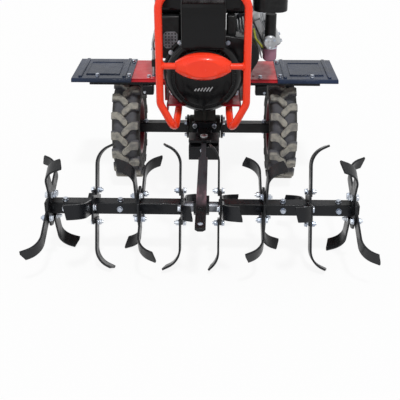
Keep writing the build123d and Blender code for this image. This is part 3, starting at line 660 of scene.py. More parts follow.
    def draw(self, rim: list[bmesh.types.BMEdge], along: Vector) -> list[bmesh.types.BMEdge]:
        """Draws open edges out by a vector.

        Args:
            rim: The open edges.
            along: How far and where to they are drawn.

        Returns:
            The new edges.
        """
        drawn = bmesh.ops.extrude_edge_only(self.mesh, edges=rim)["geom"]
        bmesh.ops.translate(self.mesh, vec=along, verts=[v for v in drawn if isinstance(v, bmesh.types.BMVert)])
        return [item for item in drawn if isinstance(item, bmesh.types.BMEdge)]

    def raise_faces(self, height: float) -> "Form":
        """Raises a flat form's faces along +Z into a solid.

        Args:
            height: How far they are raised.

        Returns:
            The form.
        """
        raised = bmesh.ops.extrude_face_region(self.mesh, geom=self.mesh.faces[:])["geom"]
        verts = [item for item in raised if isinstance(item, bmesh.types.BMVert)]
        bmesh.ops.translate(self.mesh, vec=(0, 0, height), verts=verts)
        return self

    def crease(self, limit: float) -> "Form":
        """Shades the form smooth apart from its sharp edges.

        Args:
            limit: Degrees between faces from which an edge stays sharp.

        Returns:
            The form.
        """
        bmesh.ops.recalc_face_normals(self.mesh, faces=self.mesh.faces)
        for face in self.mesh.faces:
            face.smooth = True
        for edge in self.mesh.edges:
            edge.smooth = edge.calc_face_angle(0) < math.radians(limit)
        return self

    def soften(self, width: float, segments: int = 2, limit: float = 30) -> "Form":
        """Rounds every edge over a limit in degrees.

        Args:
            width: Width of the rounding.
            segments: Steps across it.
            limit: Degrees between faces from which an edge is rounded.

        Returns:
            The form.
        """
        bmesh.ops.recalc_face_normals(self.mesh, faces=self.mesh.faces)
        edges = [edge for edge in self.mesh.edges if edge.calc_face_angle(0) > math.radians(limit)]
        return self.round_edges(edges, width, segments)

    def round_edges(self, edges: list[bmesh.types.BMEdge], width: float, segments: int) -> "Form":
        """Rounds some edges, or chamfers them in one step.

        Args:
            edges: The edges.
            width: Width of the rounding.
            segments: Steps across it.

        Returns:
            The form.
        """
        made = bmesh.ops.bevel(
            self.mesh, geom=edges, offset=width, offset_type="OFFSET", segments=segments, profile=0.5,
            affect="EDGES", material=-1, clamp_overlap=True,
        )
        for face in made["faces"]:
            face.smooth = True
        return self

    def inset(self, thickness: float, depth: float) -> "Form":
        """Insets the faces that look up +Z.

        Args:
            thickness: Width of the new border.
            depth: How far they are raised, or sunk where it is under 0.

        Returns:
            The form.
        """
        faces = [face for face in self.mesh.faces if face.normal.z > 0.99]
        bmesh.ops.inset_region(self.mesh, faces=faces, thickness=thickness, depth=depth, use_even_offset=True)
        return self

    def cut(self, place: Point, normal: Point) -> "Form":
        """Cuts away all that lies on a plane's far side and closes the cut.

        Args:
            place: A point on the plane.
            normal: The way to its far side.

        Returns:
            The form.
        """
        geom = [*self.mesh.verts, *self.mesh.edges, *self.mesh.faces]
        cut = bmesh.ops.bisect_plane(
            self.mesh, geom=geom, plane_co=place, plane_no=normal, clear_outer=True, dist=0.001
        )["geom_cut"]
        bmesh.ops.contextual_create(self.mesh, geom=[e for e in cut if isinstance(e, bmesh.types.BMEdge)])
        return self


def circle(radius: float, sides: int, start: float = 0) -> Outline:
    """Spaces points evenly round a circle.

    Args:
        radius: Its radius.
        sides: How many points.
        start: Angle of the first, in radians.

    Returns:
        The points.
    """
    turns = (start + math.tau * step / sides for step in range(sides))
    return [(radius * math.cos(turn), radius * math.sin(turn)) for turn in turns]


def rectangle(width: float, height: float, cut: float = 0) -> Outline:
    """Gives the corners of a centred rectangle.

    Args:
        width: Size along the first axis.
        height: Size along the second.
        cut: Length that is cut off each side at a corner.

    Returns:
        The corners.
    """
    x, y = width / 2, height / 2
    if not cut:
        return [(-x, -y), (x, -y), (x, y), (-x, y)]
    upper = [(x, y - cut), (x - cut, y), (-x + cut, y), (-x, y - cut)]
    return upper + [(-x, -y + cut), (-x + cut, -y), (x - cut, -y), (x, -y + cut)]


def spokes(count: int, radius: float, height: float) -> list[Matrix]:
    """Spaces places evenly round +Z, each turned so that its +X points outwards.

    Args:
        count: How many places.
        radius: How far they are from the axis.
        height: How high they are on it.

    Returns:
        The places.
    """
    place = Matrix.Translation((radius, 0, height))
    return [Matrix.Rotation(math.tau * step / count, 4, "Z") @ place for step in range(count)]


def sided(side: int, inner: float, outer: float) -> tuple[float, float]:
    """Gives the lower and the higher x of what lies between two distances at one side."""
    return tuple(sorted((side * inner, side * outer)))


class Piece:
    """A finished object: forms joined in one mesh, each with its look."""

    finishes: dict[Look, bpy.types.Material] = {}

    def __init__(self, name: str, body: str, slot: str, *replaced: str) -> None:
        """Starts a piece.

        Args:
            name: Name of the object.
            body: Body that it rides on.
            slot: Material slot of the record that it stands for; it is not used.
            replaced: Solids that it stands for.
        """
        self.name, self.body, self.slot, self.replaced = name, body, slot, replaced
        self.looks: list[Look] = []
        self.mesh = bmesh.new()

    def add(self, form: Form, look: Look, *places: Matrix) -> None:
        """Takes in a form once for each place, and frees it.

        Args:
            form: The form, in millimetres.
            look: Its finish.
            places: Where the copies go. Without one it stays where it was made.
        """
        if look not in self.looks:
            self.looks.append(look)
        data = bpy.data.meshes.new("form")
        bmesh.ops.recalc_face_normals(form.mesh, faces=form.mesh.faces)
        for face in form.mesh.faces:
            face.material_index = self.looks.index(look)
        form.mesh.to_mesh(data)
        form.mesh.free()
        for place in places or (HERE,):
            vert_count, face_count = len(self.mesh.verts), len(self.mesh.faces)
            self.mesh.from_mesh(data)
            bmesh.ops.transform(self.mesh, matrix=place, verts=self.mesh.verts[vert_count:])
            if place.determinant() < 0:
                bmesh.ops.reverse_faces(self.mesh, faces=self.mesh.faces[face_count:])
        bpy.data.meshes.remove(data)

    def place(self) -> None:
        """Turns the piece to metres, hands it to its body and reports it."""
        bmesh.ops.transform(self.mesh, matrix=Matrix.Scale(1 / METRE, 4), verts=self.mesh.verts)
        data = bpy.data.meshes.new(self.name)
        self.mesh.to_mesh(data)
        self.mesh.free()
        for look in self.looks:
            data.materials.append(self.finishes[look])
        made = bpy.data.objects.new(self.name, data)
        bpy.context.scene.collection.objects.link(made)
        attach(made, self.body)
        if self.replaced:
            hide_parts(*self.replaced)
        log.info("%s: %d faces on %s", self.name, len(data.polygons), self.body)


@dataclass(frozen=True)
class Bolt:
    """A hex bolt or nut on its washer, standing on +Z."""

    across: float = 17
    height: float = 7
    washer: float = 2
    stub: float = 0

    def form(self) -> Form:
        """Makes the head, the washer under it and the thread that shows past a nut.

        Returns:
            The form.
        """
        form = Form()
        self.disc(form, self.across / math.sqrt(3), 1, self.washer, self.height, 6)
        form.soften(self.across * 0.06, 2)
        if self.washer:
            self.disc(form, self.across * 0.66, 0.94, 0, self.washer)
        if self.stub:
            self.disc(form, self.across * 0.29, 0.94, self.washer + self.height, self.stub)
        return form

    def disc(self, form: Form, radius: float, taper: float, low: float, depth: float, sides: int = 20) -> None:
        """Adds one disc or prism.

        Args:
            form: The form that takes it.
            radius: Radius at its foot.
            taper: Share of the radius at its top.
            low: Height of its foot.
            depth: How tall it is.
            sides: How many sides it has.
        """
        place = Matrix.Translation((0, 0, low + depth / 2))
        bmesh.ops.create_cone(
            form.mesh, cap_ends=True, segments=sides, radius1=radius, radius2=radius * taper, depth=depth,
            matrix=place,
        )


# the machine's sides, looking ahead along -y, with the sign of x
SIDES = (("right", -1), ("left", 1))
BOTH = (-1, 1)


@dataclass
class Wheel:
    """A lugged tyre on its two-part rim, and the axle tube that carries them."""

    name: str
    side: int
    axle_height: float
    half_track: float = 302
    top_radius: float = 207
    tread_radius: float = 190
    lugs: int = 16
    lug_root: float = 9
    first_lug: float = 4
    rim_radius: float = 101.5
    rim_half: float = 44
    lip: float = 112.5
    disc: float = -8
    dish: float = 10
    sheet: float = 3.5
    bolt_ring: float = 47
    joint_ring: float = 81
    valve_ring: float = 88
    tube_half: float = 20
    tube_start: float = 63.5
    inner_flange: float = 47.5
    outer_flange: float = 54.6
    hub: float = 34
    shaft: float = 17.4
    pin: float = 238

    @property
    def body(self) -> str:
        """Names the body that the wheel rides on."""
        return f"wheel_{self.name}"

    @property
    def lug_depth(self) -> float:
        """Gives a lug's depth from its top to its root inside the carcass."""
        return self.top_radius - self.tread_radius + self.lug_root

    def where(self) -> Matrix:
        """Gives the wheel's own place, with +Z outwards along the axle."""
        return aim((self.side * self.half_track, 0, self.axle_height), (self.side, 0, 0))

    def build(self) -> None:
        """Builds the tyre, the rim and the axle tube."""
        self.tyre()
        self.rim()
        self.axle()

    def lug(self) -> Form:
        """Makes one bar: straight at the shoulder, slanted to the middle, wider at its foot.

        Returns:
            The lug, with its top curved to the tyre.
        """
        outline = (
            (50, -1), (50.5, 23), (44, 26), (26, 26), (18, 22), (-6, -2), (-11.5, -10), (-11, -21), (-4, -27),
            (6, -22), (22, -4), (29, -2),
        )
        form = Form.plate(outline, self.lug_depth)
        foot = [vert for vert in form.mesh.verts if vert.co.z < 1]
        bmesh.ops.scale(form.mesh, vec=(1.1, 1.22, 1), verts=foot, space=Matrix.Translation((-18, 0, 0)))
        top = [edge for edge in form.mesh.edges if all(vert.co.z > self.lug_depth - 1 for vert in edge.verts)]
        bmesh.ops.subdivide_edges(form.mesh, edges=top, cuts=1)
        form.soften(2.6, 3, 40)
        for vert in form.mesh.verts:
            vert.co.z -= vert.co.y**2 / (2 * self.top_radius)
        return form

    def tyre(self) -> None:
        """Spins the carcass and sets two rows of lugs half a pitch apart."""
        piece = Piece(f"lugged_tyre_{self.name}", self.body, "tyre", f"tyre_{self.name}")
        wall = (
            (101.8, 43.7), (112.5, 43.7), (116, 46.5), (126, 50), (137, 52), (138, 53), (141.5, 53), (142.5, 52.4),
            (152, 52.8), (163, 52), (165, 52.8), (168.5, 52), (169.5, 50.8), (177, 47), (183.5, 40.5), (188, 29),
            (189.7, 15), (self.tread_radius, 0),
        )
        profile = [*wall, *((radius, -width) for radius, width in reversed(wall[:-1]))]
        piece.add(Form.turned(profile, 96, ring=True), Look.RUBBER, self.where())
        foot = self.top_radius - self.lug_depth
        hub = Vector((self.side * self.half_track, 0, self.axle_height))
        for row, way in enumerate((1, -1)):
            for step in range(self.lugs):
                turn = math.radians(360 / self.lugs * (step + row / 2) + self.first_lug)
                outwards = Vector((0, -math.sin(turn), math.cos(turn)))
                along = Vector((0, math.cos(turn), math.sin(turn)))
                piece.add(self.lug(), Look.RUBBER, framed((way, 0, 0), along, outwards, hub + outwards * foot))
        piece.place()

    def rim(self) -> None:
        """Spins the barrel with its lips and the dished disc, and bolts it up."""
        piece = Piece(f"wheel_rim_{self.name}", self.body, "rim_paint", f"rim_{self.name}")
        half, radius, lip, sheet = self.rim_half, self.rim_radius, self.lip, self.sheet
        barrel = (
            (lip - 1.5, half + sheet), (lip, half + 1.8), (lip - 1, half + 0.3), (104, half),
            (radius, half - 3), (radius, -half + 3), (104, -half), (lip - 1, -half - 0.3),
            (lip, -half - 1.8), (lip - 1.5, -half - sheet), (101, -half - 3), (98, -half), (98, half),
            (101, half + 3),
        )
        # the rim is red; its dark oxblood colour is painted shade
        piece.add(Form.turned(barrel, 72, ring=True, crease=50), Look.RED_PAINTED_SHADE, self.where())
        disc, floor, hub = self.disc, self.disc - self.dish, self.hub + 0.3
        web = (
            (98, disc), (62, disc), (58, disc - 2), (54.5, floor), (hub, floor), (hub, floor - sheet),
            (56, floor - sheet), (61, disc - 5), (64, disc - sheet), (98, disc - sheet),
        )
        piece.add(Form.turned(web, 72, ring=True, crease=40), Look.RED_PAINTED_SHADE, self.where())
        nuts = [self.where() @ aim((x, y, floor)) for x, y in circle(self.bolt_ring, 5)]
        piece.add(Bolt(15, 8, 1.6, 4).form(), Look.ZINC, *nuts)
        joints = [self.where() @ aim((x, y, disc)) for x, y in circle(self.joint_ring, 6, math.pi / 6)]
        piece.add(Bolt(13, 6, 1.6, 3).form(), Look.ZINC, *joints)
        stem = ((0, 0), (4, 0), (4, 14), (3, 16), (3, 24), (0, 24))
        piece.add(Form.turned(stem, 16), Look.SHELL, self.where() @ aim((self.valve_ring, 0, disc - 1)))
        piece.place()

    def axle(self) -> None:
        """Builds the square tube with its flanges, bolts and the pin near the wheel."""
        piece = Piece(f"axle_tube_{self.name}", self.body, "black_paint", f"axle_hub_{self.name}")
        inner, outer = self.tube_start, self.half_track + self.disc - self.dish - 3.8
        half, shaft, hub = self.tube_half, self.shaft, self.hub
        near, far = self.inner_flange, self.outer_flange
        place = aim((0, 0, self.axle_height), (self.side, 0, 0))
        piece.add(Form.block((-half, -half, inner), (half, half, outer), 3.5, 3), Look.SATIN, place)
        turned = (
            (Look.SATIN, 48, (
                (0, inner), (near - 1.5, inner), (near, inner + 1.5), (near, inner + 8), (near - 1.5, inner + 9),
                (0, inner + 9),
            )),
            (Look.SATIN, 48, (
                (0, outer - 9), (far - 1.6, outer - 9), (far, outer - 7.5), (far, outer), (hub, outer),
                (hub, outer + 22), (hub - 2, outer + 24), (0, outer + 24),
            )),
            (Look.STEEL, 32, (
                (0, inner - 33), (shaft - 0.4, inner - 33), (shaft, inner - 31), (shaft, inner), (0, inner),
            )),
        )
        for look, steps, profile in turned:
            piece.add(Form.turned(profile, steps), look, place)
        ring = 0.71 * 36
        screws = [place @ aim((x * ring, y * ring, inner + 9)) for x, y in ((1, 1), (-1, 1), (-1, -1), (1, -1))]
        piece.add(Bolt(13, 7, 1.6).form(), Look.ZINC, *screws)
        spot = self.side * self.pin
        ends = (aim((spot, 0, self.axle_height + half)), aim((spot, 0, self.axle_height - half), (0, 0, -1)))
        piece.add(Bolt(15, 7, 1.8).form(), Look.ZINC, *ends)
        piece.place()


@dataclass
class Reel:
    """The tine reel: square tube, flanges, bent blades and their bolts."""

    y: float = -658
    height: float = 198.197
    tube_half: float = 20
    tube_start: float = 55
    tube_end: float = 503
    shaft_radius: float = 17
    flange: float = 110
    flange_cut: float = 18
    flange_thickness: float = 7
    width: float = 46
    thickness: float = 6.5
    land: float = 9
    root: float = 37
    reach: float = 205
    bend: float = 60
    bend_angle: float = 65
    tip: float = 22
    inner_angle: float = 46
    bar_half: float = 16.5
    bar_clearance: float = 5
    bolt_radius: float = 52
    screws: tuple[float, ...] = (-440, -262, 262, 440)

    # flange distance, side of x, phase, and the way each quarter's blade bends, from the lowest forwards
    turns: tuple[tuple[float, int, float, tuple[int, ...]], ...] = (
        (62, -1, 22.5, (-1, 1, -1, 1)),
        (62, 1, 22.5, (-1, 1, -1, 1)),
        (200, -1, -22.5, (-1, 1, -1, 1)),
        (200, 1, -22.5, (1, -1, 1, -1)),
        (345, -1, 22.5, (1, -1, 1, -1)),
        (345, 1, 22.5, (1, -1, 1, -1)),
        (487, -1, -22.5, (1, -1, 1, -1)),
        (487, 1, -22.5, (-1, 1, -1, 1)),
    )

    def build(self) -> None:
        """Builds the axle, the flanges, the blades and the bolts."""
        self.axle()
        self.flange_plates()
        bolts = Piece("reel_bolts", "reel", "zinc")
        for name, side in SIDES:
            self.blades(name, side, bolts)
        self.tube_screws(bolts)
        bolts.place()

    def axle(self) -> None:
        """Builds the round shaft in the bearing and the square tube to each end."""
        piece = Piece("reel_tube", "reel", "blade_paint", "reel_axle")
        radius, length = self.shaft_radius, 2 * self.tube_start
        shaft = Form.turned(((0, 0), (radius, 0), (radius, length), (0, length)), 40)
        piece.add(shaft, Look.STEEL, aim((-self.tube_start, self.y, self.height), (1, 0, 0)))
        half, cap_half, end = self.tube_half, self.tube_half - 3, self.tube_end
        for side in BOTH:
            place = aim((0, self.y, self.height), (side, 0, 0))
            piece.add(Form.block((-half, -half, self.tube_start), (half, half, end), 3, 3), Look.SATIN, place)
            cap = Form.block((-cap_half, -cap_half, end - 1), (cap_half, cap_half, end + 4), 1.5)
            piece.add(cap, Look.SHELL, place)
        piece.place()

    def flange_plates(self) -> None:
        """Builds the square plates with their cut corners."""
        piece = Piece("reel_plates", "reel", "blade_paint", "reel_flanges")
        outline = rectangle(self.flange, self.flange, self.flange_cut)
        hub = Matrix.Translation((0, self.y, self.height))
        for distance, side, phase, _ in self.turns:
            turned = aim((side * distance - self.flange_thickness / 2, self.y, self.height), (1, 0, 0))
            spin = hub @ Matrix.Rotation(math.radians(phase + 45), 4, "X") @ hub.inverted()
            piece.add(Form.plate(outline, self.flange_thickness, soft=1), Look.SATIN, spin @ turned)
        piece.place()

    def blade(self, angle: float, tip: float) -> Form:
        """Bends one blade: +X out along the blade, +Y the way it bends, +Z across it.

        Args:
            angle: Degrees of the bend.
            tip: Length past the bend.

        Returns:
            The blade, with its outer edge ground.
        """
        turn = math.radians(angle)
        outer = self.bend + self.thickness
        straight = self.reach - outer * math.sin(turn) - tip * math.cos(turn)
        form = Form()
        mesh = form.mesh
        edge, land = self.width / 2, self.width / 2 - self.land
        across = (-edge, -land, land, edge)
        section = [(z, 0) for z in across] + [(z, self.thickness) for z in reversed(across)]
        verts = [mesh.verts.new((self.root, y, z)) for z, y in section]
        rim = [mesh.edges.new(pair) for pair in zip(verts, verts[1:] + verts[:1])]
        mesh.faces.new(verts)
        rim = form.draw(rim, Vector((straight - self.root, 0, 0)))
        swung = bmesh.ops.spin(mesh, geom=rim, cent=(straight, outer, 0), axis=(0, 0, 1), angle=turn, steps=10)
        rim = [item for item in swung["geom_last"] if isinstance(item, bmesh.types.BMEdge)]
        ahead = Vector((math.cos(turn), math.sin(turn), 0))
        rim = form.draw(rim, ahead * tip)
        bmesh.ops.contextual_create(mesh, geom=rim)
        for vert in dict.fromkeys(vert for edge in rim for vert in edge.verts):
            vert.co -= ahead * max(0, vert.co.z + self.width / 2 - 10) * 0.3
        return form.soften(0.9, 2, 40)

    def blades(self, name: str, side: int, bolts: Piece) -> None:
        """Sets the sixteen blades of one side against their flanges.

        Args:
            name: Name of the side.
            side: Sign of x.
            bolts: Piece that takes the bolts.
        """
        piece = Piece(f"reel_blades_{name}", "reel", "blade_paint", f"tine_blades_{name}")
        innermost, half = self.turns[0][0], self.flange_thickness / 2
        room = innermost - half - self.bar_half - self.bar_clearance
        turn = math.radians(self.inner_angle)
        rise = (self.bend + self.thickness) * (1 - math.cos(turn)) + self.thickness * math.cos(turn)
        kinds = {False: (self.bend_angle, self.tip), True: (self.inner_angle, (room - rise) / math.sin(turn))}
        for distance, blade_side, phase, turns in self.turns:
            if blade_side != side:
                continue
            for quarter, way in enumerate(turns):
                angle = math.radians(phase + 90 * quarter)
                radial = Vector((0, -math.sin(angle), -math.cos(angle)))
                lateral = Vector((way, 0, 0))
                towards_bar = distance == innermost and way == -side
                face = (side * distance + way * half, self.y, self.height)
                place = framed(radial, lateral, radial.cross(lateral), face)
                piece.add(self.blade(*kinds[towards_bar]), Look.SATIN, place)
                outside = place @ aim((self.bolt_radius, self.thickness, 0), (0, 1, 0))
                inside = place @ aim((self.bolt_radius, -self.flange_thickness, 0), (0, -1, 0))
                bolts.add(Bolt(17, 9, 2.2, 5).form(), Look.ZINC, outside)
                bolts.add(Bolt(17, 7, 2.2).form(), Look.ZINC, inside)
        piece.place()

    def tube_screws(self, bolts: Piece) -> None:
        """Adds the screws on the tube's top and front.

        Args:
            bolts: Piece that takes them.
        """
        for x in self.screws:
            top = aim((x, self.y, self.height + self.tube_half))
            front = aim((x, self.y - self.tube_half, self.height), (0, -1, 0))
            bolts.add(Bolt(15, 7, 1.8).form(), Look.ZINC, top, front)


@dataclass
class Drawbar:
    """The flat bar that carries the reel."""

    hinge_y: float = -205
    neck_end_y: float = -365
    front_y: float = -863
    bottom: float = 226.197
    thickness: float = 12
    width: float = 33
    corner: float = 9
    neck: float = 18
    shoulder: float = 8
    hole: float = 9.5
    holes: tuple[float, float] = (-750, -836)
    pin_hole: float = 9.1
    eye: float = 20
    countersink: float = 5.2
    bush_wall: float = 1.2
    bush_inset: float = 0.4

    def on_rim(self, place: Vector) -> bool:
        """Tells whether a point stands on the rim of one of the front holes."""
        return any(abs(math.hypot(place.x, place.y - y) - self.hole) < 0.1 for y in self.holes)

    def build(self) -> None:
        """Builds the bar with its countersunk holes, and the bright bush in the front one."""
        piece = Piece("draw_bar", "draw_frame", "worn_bar", "drawbar")
        half, neck, cut, shoulder = self.width / 2, self.neck / 2, self.corner, self.neck_end_y + self.shoulder
        front = (
            (-half, self.neck_end_y), (-half, self.front_y + cut), (-half + cut, self.front_y),
            (half - cut, self.front_y), (half, self.front_y + cut), (half, self.neck_end_y),
        )
        eye_start = self.hinge_y - math.sqrt(self.eye**2 - neck**2)
        turns = [math.radians(angle) for angle in range(-60, 241, 15)]
        eye = [(self.eye * math.cos(turn), self.hinge_y + self.eye * math.sin(turn)) for turn in turns]
        eye = [(x, y) for x, y in eye if y > eye_start]
        outline = [*front, (neck, shoulder), (neck, eye_start), *eye, (-neck, eye_start), (-neck, shoulder)]
        openings = [(0, y, self.hole) for y in self.holes] + [(0, self.hinge_y, self.pin_hole)]
        form = Form.plate(outline, self.thickness, openings)
        rims = [edge for edge in form.mesh.edges if all(self.on_rim(vert.co) for vert in edge.verts)]
        flat = [edge for edge in rims if edge.verts[0].co.z == edge.verts[1].co.z]
        form.round_edges(flat, self.countersink, 1)
        form.soften(1.1, 2, 60)
        # the bar's finish paints a highlight and reflection near the reel
        piece.add(form, Look.BAR, Matrix.Translation((0, 0, self.bottom)))
        inner, low, high = self.hole - self.bush_wall, self.bush_inset, self.thickness - self.bush_inset
        bush = ((inner, low), (self.hole, low), (self.hole, high), (inner, high))
        seat = Matrix.Translation((0, min(self.holes), self.bottom))
        piece.add(Form.turned(bush, 32, ring=True), Look.ZINC, seat)
        piece.place()


@dataclass
class Hitch:
    """The bracket under the engine that holds the drawbar's eye, with its pin."""

    y: float = -205
    bar_bottom: float = 226.197
    bar_thickness: float = 12
    gap: float = 2
    plate: float = 10
    width: float = 114
    depth: float = 54
    back: float = 40
    front: float = 38
    axle_height: float = 207
    mount_front: float = -92.3
    mount_thickness: float = 12
    mount_half: Point = (48, 54)
    neck_half: float = 28
    screw_x: float = 38
    screw_rise: float = 40
    pin_radius: float = 9
    pin_head: float = 15

    def build(self) -> None:
        """Builds the bracket and its pin."""
        low, high = self.bar_bottom - self.gap, self.bar_bottom + self.bar_thickness + self.gap
        self.bracket(low, high, low - self.depth)
        self.pin(low, high + self.plate + 0.3, low - self.depth)

    def bracket(self, low: float, high: float, bottom: float) -> None:
        """Welds the bracket up from its blocks.

        Args:
            low: Top of the block under the bar.
            high: Underside of the plate over the bar.
            bottom: Underside of the bracket.
        """
        back, front, half = self.y + self.back, self.y - self.front, self.width / 2
        face, neck, axle = self.mount_front, self.neck_half, self.axle_height
        x, z = self.mount_half
        piece = Piece("hitch_bracket", "tractor", "black_paint", "front_bracket")
        blocks = (
            ((-x, face, axle - z), (x, face + self.mount_thickness, axle + z), 2),
            ((-neck, back - 1, bottom), (neck, face + 1, high), 2),
            ((-half, front, bottom), (half, back, low), 2.2),
            ((-half, front, high), (half, back, high + self.plate), 1.8),
            ((-half, back - self.plate, low - 1), (half, back, high + 1), 1),
        )
        for lowest, highest, soft in blocks:
            piece.add(Form.block(lowest, highest, soft), Look.SATIN)
        for side in BOTH:
            foot = ((side * neck, back + 1, bottom + 2), (side * neck, -91, bottom + 2))
            seam = ((side * (half - 2), back, high + 1), (side * (half - 2), back, low - 1))
            piece.add(Form.tube(3, foot, sides=10), Look.SATIN)
            piece.add(Form.tube(2.4, seam, sides=10), Look.SATIN)
        piece.place()

    def pin(self, low: float, head: float, bottom: float) -> None:
        """Turns the domed pin and sets the bracket's bolts.

        Args:
            low: Top of the block under the bar.
            head: Underside of the pin's head.
            bottom: Underside of the bracket.
        """
        pin = Piece("hinge_pin", "tractor", "zinc", "hitch_pin")
        radius, cap, tip = self.pin_radius, self.pin_head, bottom - head - 16
        turns = [math.pi / 2 * step / 8 for step in range(9)]
        dome = [(cap * math.cos(turn), 2 + 7.5 * math.sin(turn)) for turn in turns]
        profile = ((0, tip), (radius - 1, tip), (radius, tip + 2), (radius, 0), (cap, 0), *dome)
        pin.add(Form.turned(profile, 40), Look.ALUMINIUM, Matrix.Translation((0, self.y, head)))
        ring = Form.turned([(13 + x, y) for x, y in circle(1.6, 10)], 32, ring=True)
        pin.add(ring, Look.ZINC, Matrix.Translation((0, self.y, bottom - 9)))
        for rise in (self.screw_rise, -self.screw_rise):
            for x in (-self.screw_x, self.screw_x):
                spot = aim((x, self.mount_front, self.axle_height + rise), (0, -1, 0))
                pin.add(Bolt(15, 8, 2).form(), Look.ZINC, spot)
        pin.add(Bolt(13, 7, 1.6).form(), Look.ZINC, aim((-6, self.y - self.front, low - 14), (0, -1, 0)))
        pin.place()


@dataclass
class Guard:
    """The bent tube in front of the engine with its cross bar and oval boss."""

    tube: float = 13
    y: float = -385
    half_width: float = 148
    foot_half: float = 98
    foot_inset: float = 6
    base_top: float = 399.7
    base_plate: float = 8
    base_front_y: float = -258
    foot: float = 352
    knee: float = 450
    top: float = 850
    bends: tuple[float, ...] = (30, 26, 45, 60)
    bar_height: float = 585
    bar: float = 11
    weld: float = 2.6
    boss_width: float = 188
    boss_height: float = 94
    boss_end: float = 32

    # share of the boss's width and height, rise, and how far the ring has become an ellipse
    rings: tuple[tuple[float, float, float, float], ...] = (
        (1, 1, 8, 0),
        (0.985, 0.97, 5, 0),
        (0.95, 0.92, 5, 0.1),
        (0.89, 0.85, 5, 0.3),
        (0.8, 0.77, 5, 0.6),
        (0.66, 0.64, 5.5, 1),
        (0.62, 0.6, 0.5, 1),
    )

    def build(self) -> None:
        """Builds the loop, the cross bar with its welds, and the boss."""
        seat = self.base_top - self.base_plate - 0.3 - self.tube
        foot_x = self.foot_half - self.foot_inset
        half = (
            (-foot_x, self.base_front_y + 20, seat), (-foot_x, self.base_front_y - 46, seat),
            (-self.foot_half, self.y, self.foot), (-self.half_width, self.y, self.knee),
            (-self.half_width, self.y, self.top - self.tube),
        )
        corners = [*half, *((-x, y, z) for x, y, z in reversed(half))]
        piece = Piece("guard_tube", "tractor", "red_paint", "bumper")
        loop = Form.tube(self.tube, corners, (*self.bends, *reversed(self.bends)), 10, 28)
        piece.add(loop, Look.ORANGE)
        bar = self.half_width - 4
        cross = Form.tube(self.bar, ((-bar, self.y, self.bar_height), (bar, self.y, self.bar_height)))
        piece.add(cross, Look.ORANGE)
        weld_x = self.half_width - self.tube - 0.5
        for side in BOTH:
            weld = Form.turned([(self.bar + 1 + x, y) for x, y in circle(self.weld, 10)], 32, ring=True)
            piece.add(weld, Look.ORANGE, aim((side * weld_x, self.y, self.bar_height), (1, 0, 0)))
        piece.place()
        self.boss()

    def boss(self) -> None:
        """Domes the oval boss in rings, from its blunt-ended outline to the flat oval on its front."""
        piece = Piece("guard_boss", "tractor", "red_paint", "bumper_badge")
        form = Form()
        mesh = form.mesh
        width, height, end = self.boss_width / 2, self.boss_height / 2, self.boss_end / 2
        places = [width * math.cos(math.pi * step / 28) for step in range(29)]
        upper = [(x, end + (height - end) * (1 - abs(x / width) ** 2.3)) for x in places]
        outline = [*upper, *((-x, -y) for x, y in upper)]
        base = mesh.faces.new([mesh.verts.new((x, y, -2)) for x, y in outline])
        rim = list(base.edges)
        wide = tall = 1.0
        for share_x, share_y, rise, blend in self.rings:
            rim = form.draw(rim, Vector((0, 0, rise)))
            ring = list(dict.fromkeys(vert for edge in rim for vert in edge.verts))
            bmesh.ops.scale(mesh, vec=(share_x / wide, share_y / tall, 1), verts=ring)
            wide, tall = share_x, share_y
            for vert in ring:
                grown = 1 / math.hypot(vert.co.x / (width * share_x), vert.co.y / (height * share_y))
                stretch = 1 + (grown - 1) * blend
                vert.co.x *= stretch
                vert.co.y *= stretch
        bmesh.ops.contextual_create(mesh, geom=rim)
        form.crease(60)
        for edge in rim:
            edge.smooth = False
        face = aim((0, self.y, self.bar_height), (0, -1, 0), 180)
        piece.add(form, Look.ORANGE, face)
        piece.place()


